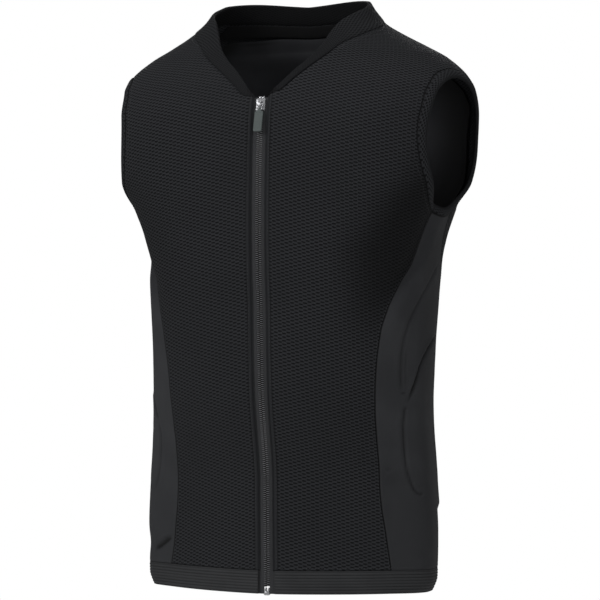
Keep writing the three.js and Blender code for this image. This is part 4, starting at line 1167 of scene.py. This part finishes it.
def addTape(name, node, sign):  # a woven tape with a low bead beside the teeth
    xs = sign * np.linspace(zipSize["tapeStart"], zipSize["tapeHalfWidth"], 26)
    bead = 0.35 * np.exp(-((xs * sign - xs[0] * sign - 0.7) / 0.6) ** 2)
    front = np.stack([zipStrip(x, zipSize["tapeDepth"]) for x in xs], 1)
    back = np.stack([zipStrip(x, zipSize["tapeDepth"] + zipSize["tapeWall"]) for x in xs], 1)
    up = runAlong(front[:, 0], 0)
    inward = (back - front) / np.linalg.norm(back - front, axis=-1, keepdims=True)
    front = front - inward * bead[None, :, None]
    flat = np.stack(np.broadcast_arrays(xs[None], up[:, None]), -1)
    if sign < 0:
        front, back, flat = front[:, ::-1], back[:, ::-1], flat[:, ::-1]
    piece = layered(name, front, back, paints["tape"], node, flat)
    declareSheet(front)


def repeatShape(shape, faces, centres, axes):
    # one small shape set at many places: each place has its middle and three directions
    points = centres[:, None] + np.einsum("pk,nkj->npj", shape, axes)
    many = faces[None] + (np.arange(len(centres)) * len(shape))[:, None, None]
    return points.reshape(-1, 3), many.reshape(-1, faces.shape[1])


def addTeeth():
    line = zipStrip(0, chainMiddle)
    run = runAlong(line, 0)
    first = np.interp(zipSize["boxTop"] / body["height"], zipLevels, run) + 1.0
    last = np.interp((zipSize["sliderHeight"] + 3.1) / body["height"], zipLevels, run)
    spots = np.arange(first, last, tooth["pitch"])
    centres = np.stack([np.interp(spots, run, line[:, k]) for k in range(3)], -1)
    ahead = np.stack([np.interp(spots + 0.5, run, line[:, k]) for k in range(3)], -1)
    up = (ahead - centres) / np.linalg.norm(ahead - centres, axis=-1, keepdims=True)
    across = np.tile([1.0, 0, 0], (len(spots), 1)) * np.where(np.arange(len(spots)) % 2, 1, -1)[:, None]
    into = np.cross(up, np.tile([1.0, 0, 0], (len(spots), 1)))
    # each tooth: rings of an oval, thick at the head by the middle and waisted before the tape
    stations = np.array([tooth["inner"], 0.5, 0.8, 1.1, 1.4, tooth["outer"] - 0.2, tooth["outer"]])
    wide = np.array([0.55, 0.95, 1.0, 0.72, 0.8, 0.95, 0.8])
    thick = np.array([0.6, 0.95, 1.0, 0.85, 0.95, 1.0, 0.85])
    ring = roundedLoop(1, 1, 8, 0.6)
    shape = np.stack([np.broadcast_to(stations[:, None], (7, 8)), thick[:, None] * ring[:, 0] * tooth["thick"],
                      wide[:, None] * ring[:, 1] * tooth["tall"]], -1).reshape(-1, 3)
    faces = gridFaces(7, 8, wrapColumns=True)
    ends = np.array([[0, 1, 2, 3], [0, 3, 4, 7], [4, 5, 6, 7]])
    faces = np.concatenate([faces, ends, ends[:, ::-1] + 48])
    axes = np.stack([across, into, up], 1)
    odd = np.arange(len(spots)) % 2 == 1
    points, many = repeatShape(shape, faces, centres, axes)
    # the mirrored half of the teeth turns its faces round
    flip = np.repeat(~odd, len(faces))
    many[flip] = many[flip][:, ::-1]
    # a near-black sheet fills the gaps between the teeth: painted shade in the gaps
    rows = zipLevels[(zipLevels > 7.5 / body["height"]) & (zipLevels < sliderHigh)]
    sheets = [np.stack([zipStrip(x, chainMiddle + z, rows) for x in (-tooth["shadeSheet"], 0, tooth["shadeSheet"])], 1)
              for z in (-0.35, 0.35)]
    shadeSheet, shadeSheetFaces = closeWall(*sheets)
    # the sheet is all painted shade, and the teeth have none
    shade = np.concatenate([np.zeros(len(points)), np.ones(len(shadeSheet))])
    many = np.concatenate([many, shadeSheetFaces + len(points)])
    points = np.concatenate([points, shadeSheet])
    piece = makePiece("zip_teeth", points, many, paints["teeth"], "zip_chain", values={"shade": shade}, sharp=60)


def roundedPlate(halfWidths, heights, low, high, bevel):
    # an outline given by half widths at heights, carried through its thickness with rounded rims
    edge = np.stack([halfWidths, heights], -1)
    outline = np.concatenate([edge, (edge * [-1, 1])[::-1]])
    middle = outline.mean(0)
    t = np.linspace(0, np.pi / 2, 5)
    inset = np.concatenate([bevel * (1 - np.sin(t)), bevel * (1 - np.sin(t[::-1]))])
    level = np.concatenate([low + bevel * (1 - np.cos(t)), high - bevel * (1 - np.cos(t[::-1]))])
    away = outline - middle
    scale = 1 - inset[None, :, None] / np.maximum(np.linalg.norm(away, axis=-1), 1.0)[:, None, None]
    flatPoints = middle + away[:, None] * scale
    level = np.broadcast_to(level, flatPoints.shape[:2])
    points = np.stack([flatPoints[..., 0], level, flatPoints[..., 1]], -1)
    return points, tubeFaces(*level.shape, False)


def joinMeshes(parts):  # several closed meshes as one list of points and one of faces
    points, faces, caps, start = [], [], [], 0
    for grid, (quads, ends) in parts:
        flat = grid.reshape(-1, 3)
        if signedVolume(flat, quads) < 0:
            quads, ends = quads[:, ::-1], tuple(end[::-1] for end in ends)
        points.append(flat)
        faces.append(quads + start)
        caps += [end + start for end in ends]
        start += len(flat)
    return np.concatenate(points), np.concatenate(faces), caps


def block(centre, half, count=24, power=0.35, rings=9):  # a rounded block: rings of a superellipse
    t = np.linspace(-np.pi / 2, np.pi / 2, rings)
    ring = roundedLoop(1, 1, count, power)
    size = np.abs(np.cos(t)) ** power * 0.999 + 0.001
    level = np.sign(np.sin(t)) * np.abs(np.sin(t)) ** power
    points = np.stack([ring[:, None, 0] * size * half[0] + centre[0],
                       ring[:, None, 1] * size * half[1] + centre[1],
                       np.broadcast_to(level * half[2] + centre[2], (count, rings))], -1)
    return points, tubeFaces(count, rings, False)


def addMetal(name, node, place, parts, sharp=50):  # closed meshes in one silver piece, set in a frame
    points, faces, caps = joinMeshes(parts)
    piece = makePiece(name, setIn(place, points), faces, paints["silver"], node, caps=caps, sharp=sharp)


def addSlider():
    frame = zipFrame(sliderLow, sliderHigh)
    s = sliderShape
    heights = np.array([-6.5, -6.3, -5.6, -3.0, 0.0, 3.0, 5.4, 6.2, 6.5])
    half = np.array([2.9, 3.5, 3.9, 4.0, 4.3, 4.7, 4.75, 4.4, 3.6])
    parts = [roundedPlate(half, heights, -s["plateOut"], -s["plateIn"], 0.5),
             roundedPlate(half, heights, s["plateIn"], s["plateOut"], 0.5)]
    for sign in (-1, 1):  # flanges that close round the chain, and leave a slot for the tapes
        for face in (-1, 1):
            parts.append(block((sign * 4.15, face * 1.5, 0), (0.55, 0.68, 6.1), power=0.4))
    parts.append(block((0, 0, 5.0), (1.0, 2.0, 1.5)))
    # the bridge: a flat strap that rises from the front plate, runs up along it and comes down again
    t = np.linspace(0, np.pi, 33)
    rise = (s["bridgeTop"] - 0.5 - s["plateOut"]) * np.sin(t) ** 0.42
    path = np.stack([0 * t, -s["plateOut"] + 0.15 - rise, -np.cos(t) * (s["bridgeLength"] / 2 - 0.5)], -1)
    tangent = np.gradient(path, axis=0)
    tangent /= np.linalg.norm(tangent, axis=-1, keepdims=True)
    normal = np.cross(tangent, [1.0, 0, 0])
    loop = roundedLoop(s["bridgeWidth"], 0.5, 16, 0.5)
    strap = carried(path, np.array([1.0, 0, 0]), normal, loop)
    parts.append((strap, tubeFaces(len(loop), len(path), False)))
    addMetal("slider_body", "zip_slider", frame, parts, 40)
    return frame


def addPull(frame):
    middle = setIn(frame, [0, -sliderShape["hinge"], 0])
    pull = (middle, frame[1])
    # the link: a round wire carried along a rectangle with rounded corners
    corner, arm, reach = wire["corner"], wire["arm"], wire["reach"]
    quarter = np.linspace(0, np.pi / 2, 9)
    bends = []
    for k, (x, z) in enumerate([(arm - corner, -corner), (-arm + corner, -corner),
                                (-arm + corner, corner - reach), (arm - corner, corner - reach)]):
        angle = quarter + k * np.pi / 2
        bends.append(np.stack([x + corner * np.cos(angle), 0 * angle, z + corner * np.sin(angle)], -1))
    path = np.concatenate(bends)
    inwards = np.concatenate([np.stack([-np.cos(quarter + k * np.pi / 2), 0 * quarter,
                                        -np.sin(quarter + k * np.pi / 2)], -1) for k in range(4)])
    loop = roundedLoop(wire["radius"], wire["radius"], 14, 1.0)
    points = carried(path, inwards, np.tile([0, 1.0, 0], (len(path), 1)), loop).reshape(-1, 3)
    faces = tubeFaces(len(loop), len(path), True)[0]
    link = makePiece("link_wire", setIn(pull, points), faces, paints["silver"], "pull_link",
                     rides="zipper_pull")
    # the tab: its half width follows the outline, its faces are crowned, and ribs cross its lower half
    top = -reach + wire["radius"] + 0.3 + 1.0
    z = top - tab["length"] * np.linspace(1, 0, 131)
    fromTop, fromLow = top - z, z - (top - tab["length"])
    widening = ease(fromTop, tab["headLength"] - 1.2, tab["headLength"] + 0.9)
    shoulder = tab["head"] + (tab["half"] - tab["head"]) * widening
    lowCut = tab["corner"] * (1 - np.sqrt(1 - np.clip(1 - fromLow / tab["corner"], 0, 1) ** 2))
    topCut = 0.8 * (1 - np.sqrt(1 - np.clip(1 - fromTop / 0.8, 0, 1) ** 2))
    half = shoulder - lowCut - topCut
    s = np.sin(np.linspace(-1, 1, 31) * np.pi / 2)[None]
    ribs = np.abs(np.cos(np.pi * (fromLow - 1.6) / tab["ribPitch"])) ** 0.7
    where = ease(fromLow, 1.2, 1.9) * ease(10.8 - fromLow, 0, 0.6)
    near = np.minimum(np.minimum(fromTop, fromLow) / 0.7, 1)
    ends = np.sqrt(np.clip(near * 2 - near ** 2, 0, 1))
    rim = (1 - np.abs(s) ** 8) ** 0.5
    crown = (0.35 + 0.65 * rim) * (0.5 + 0.5 * ends[:, None]) * tab["thick"]
    crown = crown - (tab["ribHeight"] * (1 - ribs) * where)[:, None] * (1 - ease(np.abs(s), 0.72, 0.8))
    panelSink = 0.18 * ease(fromTop, 4.6, 5.0) * ease(10.2 - fromTop, 0, 0.4)
    crown = crown - panelSink[:, None] * (1 - ease(np.abs(s), 0.7, 0.78))
    x = half[:, None] * s
    grid = np.stack(np.broadcast_arrays(x, -crown, z[:, None]), -1)
    back = np.stack(np.broadcast_arrays(x, crown * 0.98, z[:, None]), -1)
    points, faces = closeWall(grid, back)
    rubber = makePiece("tab_body", setIn(pull, points), faces, paints["tab"], "pull_tab",
                       rides="zipper_pull", sharp=60)


def addSmallMetal():
    half, fit = zipSize["chainHalfWidth"], zipSize["fit"]
    tall = 2.4 / body["height"]
    stops = zipFrame(sliderHigh, sliderHigh + tall)
    for name, node, sign in (("stop_left", "top_stop_left", 1), ("stop_right", "top_stop_right", -1)):
        stop = block((sign * (half + fit) / 2, 0, 0), ((half - fit) / 2, 1.35, 1.15))
        addMetal(name, node, stops, [stop])
    boxFrame = zipFrame(-1.5 / body["height"], zipSize["boxTop"] / body["height"])
    pinStart = half - 2.1
    boxHalf = (half + pinStart - fit) / 2
    # the box closes round the pin's lower end, and a prong of its own stands beside the pin
    prong = block((-half + boxHalf, 0, 1.2), (boxHalf * 0.62, 1.5, 2.75), power=0.5)
    addMetal("box_body", "retainer_box", boxFrame, [block((0, 0, -1.75), (half, 2.15, 2.2), power=0.4), prong])
    pin = block(((half + pinStart) / 2, 0, 0), (0.72, 1.36, 3.95), power=0.5)
    addMetal("pin_body", "insertion_pin", boxFrame, [pin])


addTape("zip_cloth_left", "zip_tape_left", 1)
addTape("zip_cloth_right", "zip_tape_right", -1)
addTeeth()
sliderFrame = addSlider()
addPull(sliderFrame)
addSmallMetal()
print("zip made")


# Stitches: small capsules of thread along the seams, each sunk a little into the cloth
stitch = {"pitch": 3.1, "long": 2.2, "radius": 0.27, "sink": 0.06}


def stitchRun(turn, at, depth, pitch=stitch["pitch"]):
    line = clothPoint(turn, at, np.broadcast_to(depth, np.shape(turn)))
    out = outward(turn, at)
    run = runAlong(line, 0)
    spots = np.arange(pitch / 2, run[-1], pitch)

    def read(rows):
        return np.stack([np.interp(spots, run, rows[:, k]) for k in range(3)], -1)

    centres, normal = read(line), read(out)
    tangent = read(np.gradient(line, axis=0))
    tangent /= np.linalg.norm(tangent, axis=-1, keepdims=True)
    across = np.cross(tangent, normal)
    across /= np.linalg.norm(across, axis=-1, keepdims=True)
    return centres, np.stack([across, np.cross(across, tangent), tangent], 1)


def addStitches(name, runs):
    stations = np.array([-0.5, -0.36, 0.0, 0.36, 0.5]) * stitch["long"]
    size = np.array([0.35, 0.9, 1.0, 0.9, 0.35]) * stitch["radius"]
    angle = np.arange(6) * np.pi / 3
    bend = 0.25 * np.abs(stations[:, None] / stitch["long"])  # both ends dive into the cloth
    shape = np.stack([size[:, None] * np.cos(angle), size[:, None] * np.sin(angle) - bend,
                      np.broadcast_to(stations[:, None], (5, 6))], -1).reshape(-1, 3)
    ends = [[0, 1, 2, 5], [2, 3, 4, 5], [24, 29, 26, 25], [26, 29, 28, 27]]
    faces = np.concatenate([gridFaces(5, 6, wrapColumns=True), ends])
    centres = np.concatenate([run[0] for run in runs])
    axes = np.concatenate([run[1] for run in runs])
    points, many = repeatShape(shape, faces, centres, axes)
    makePiece(name, points, many, paints["thread"])


def seamStitches():
    sink = stitch["sink"]
    low, high = hemTop + 3 / body["height"], float(neckSeam(0.0)) - 4 / body["height"]
    levels = np.linspace(low, high, 400)
    beside = zipSize["shown"] + panel["foldWidth"] - 1.2
    for sign, where in ((1, "left"), (-1, "right")):
        runs = [stitchRun(turnAtSide(sign * beside, levels), levels, sink + 0.05)]
        addStitches("zip_stitches_" + where, runs)
        away = 2.9 / body["height"]
        neck = np.linspace(float(turnAtSide(zipSize["shown"] + 3, neckSeam(0.0))), 178, 400)
        front = np.linspace(hemTop + away, armpitFront[1] - away, 300)
        back = np.linspace(hemTop + away, armpitBack[1] - away, 300)
        around = np.linspace(turnAtSide(zipSize["shown"] + 3, hemTop), 179, 600)
        seams = [stitchRun(sign * neck, neckSeam(neck) - away, sink),
                 stitchRun(sign * (sideSeam("front", front) - 1.0), front, sink),
                 stitchRun(sign * (sideSeam("back", back) + 1.1), back, sink),
                 stitchRun(sign * around, np.full(600, hemTop + away), sink)]
        turn, at = armholePlace(np.linspace(armhole["back"] - 360 + 3, armhole["front"] - 3, 400), -2.9)
        seams.append(stitchRun(sign * turn, at, sink))
        addStitches("seam_stitches_" + where, seams)
        # two short bars of dense stitches hold each tape's folded top
        seam = float(neckSeam(sign * 5.0))
        bars = [stitchRun(turnAtSide(sign * np.linspace(9.6, 9.6 + long, 24), seam),
                          np.full(24, seam - down / body["height"]), sink, 1.25)
                for down, long in ((1.6, 9.0), (4.6, 6.5))]
        addStitches("bar_stitches_" + where, bars)


seamStitches()
print("stitches made")


# The floor, the light and the camera, which stands where the photograph was taken from
camera = {"azimuth": 19.0, "distance": 3.0, "height": -0.287, "shift": 0.0078, "lens": 173.08}
light = {"world": 0.2, "key": 34.0, "fill": 18.0, "top": 14.0, "back": 18.0}


def addFloor():
    angle = np.linspace(0, 2 * np.pi, 97)[:-1]
    radius = np.linspace(0.02, 1.45, 16)
    ring = np.stack([np.outer(radius, np.cos(angle)), np.outer(radius, np.sin(angle)),
                     np.full((16, 96), -0.8)], -1)
    faces = gridFaces(16, 96, wrapColumns=True)[:, ::-1].tolist() + [list(range(96))]
    mesh = bpy.data.meshes.new("floor")
    mesh.from_pydata(ring.reshape(-1, 3).tolist(), [], faces)
    floor = bpy.data.objects.new("floor", mesh)
    bpy.context.scene.collection.objects.link(floor)
    mesh.materials.append(plainPaint("pale floor", (238, 238, 236), (232, 232, 230), 0.8, 20, 0.0002))


def addLight(name, power, size, place, aim=(0.0, 0.0, -0.3)):
    data = bpy.data.lights.new(name, "AREA")
    data.shape, data.size, data.energy = "DISK", size, power
    lamp = bpy.data.objects.new(name, data)
    bpy.context.scene.collection.objects.link(lamp)
    lamp.location = place
    towards = Vector(aim) - Vector(place)
    lamp.rotation_euler = towards.to_track_quat("-Z", "Y").to_euler()


def addWorld():  # pure white behind the vest, and an even grey light on it
    world = bpy.data.worlds.new("studio")
    world.use_nodes = True
    bpy.context.scene.world = world
    tree = world.node_tree
    tree.nodes.clear()
    path, mix = tree.nodes.new("ShaderNodeLightPath"), tree.nodes.new("ShaderNodeMixShader")
    end = tree.nodes.new("ShaderNodeOutputWorld")
    for strength, socket in ((light["world"], 1), (1.0, 2)):
        glow = tree.nodes.new("ShaderNodeBackground")
        glow.inputs["Color"].default_value = (1, 1, 1, 1)
        glow.inputs["Strength"].default_value = strength
        tree.links.new(glow.outputs[0], mix.inputs[socket])
    tree.links.new(path.outputs["Is Camera Ray"], mix.inputs[0])
    tree.links.new(mix.outputs[0], end.inputs[0])


def addCamera():
    data = bpy.data.cameras.new("camera")
    data.sensor_width, data.lens = 36.0, camera["lens"]
    data.clip_end = 20.0
    eye = bpy.data.objects.new("camera", data)
    bpy.context.scene.collection.objects.link(eye)
    azimuth = math.radians(camera["azimuth"])
    sine, cosine = math.sin(azimuth), math.cos(azimuth)
    eye.location = (camera["distance"] * sine + camera["shift"] * cosine,
                    -camera["distance"] * cosine + camera["shift"] * sine, camera["height"])
    eye.rotation_euler = (math.radians(90), 0, azimuth)
    bpy.context.scene.camera = eye


addFloor()
addLight("key light", light["key"], 1.6, (-1.7, -2.5, 1.1))
addLight("fill light", light["fill"], 1.8, (2.1, -2.7, 0.8))
addLight("top light", light["top"], 1.6, (0.2, -0.3, 2.0))
addLight("back light", light["back"], 1.4, (-0.6, 2.6, 0.8))
addWorld()
addCamera()
bpy.context.scene.view_settings.view_transform = "Standard"
print("stage, lights and camera set")
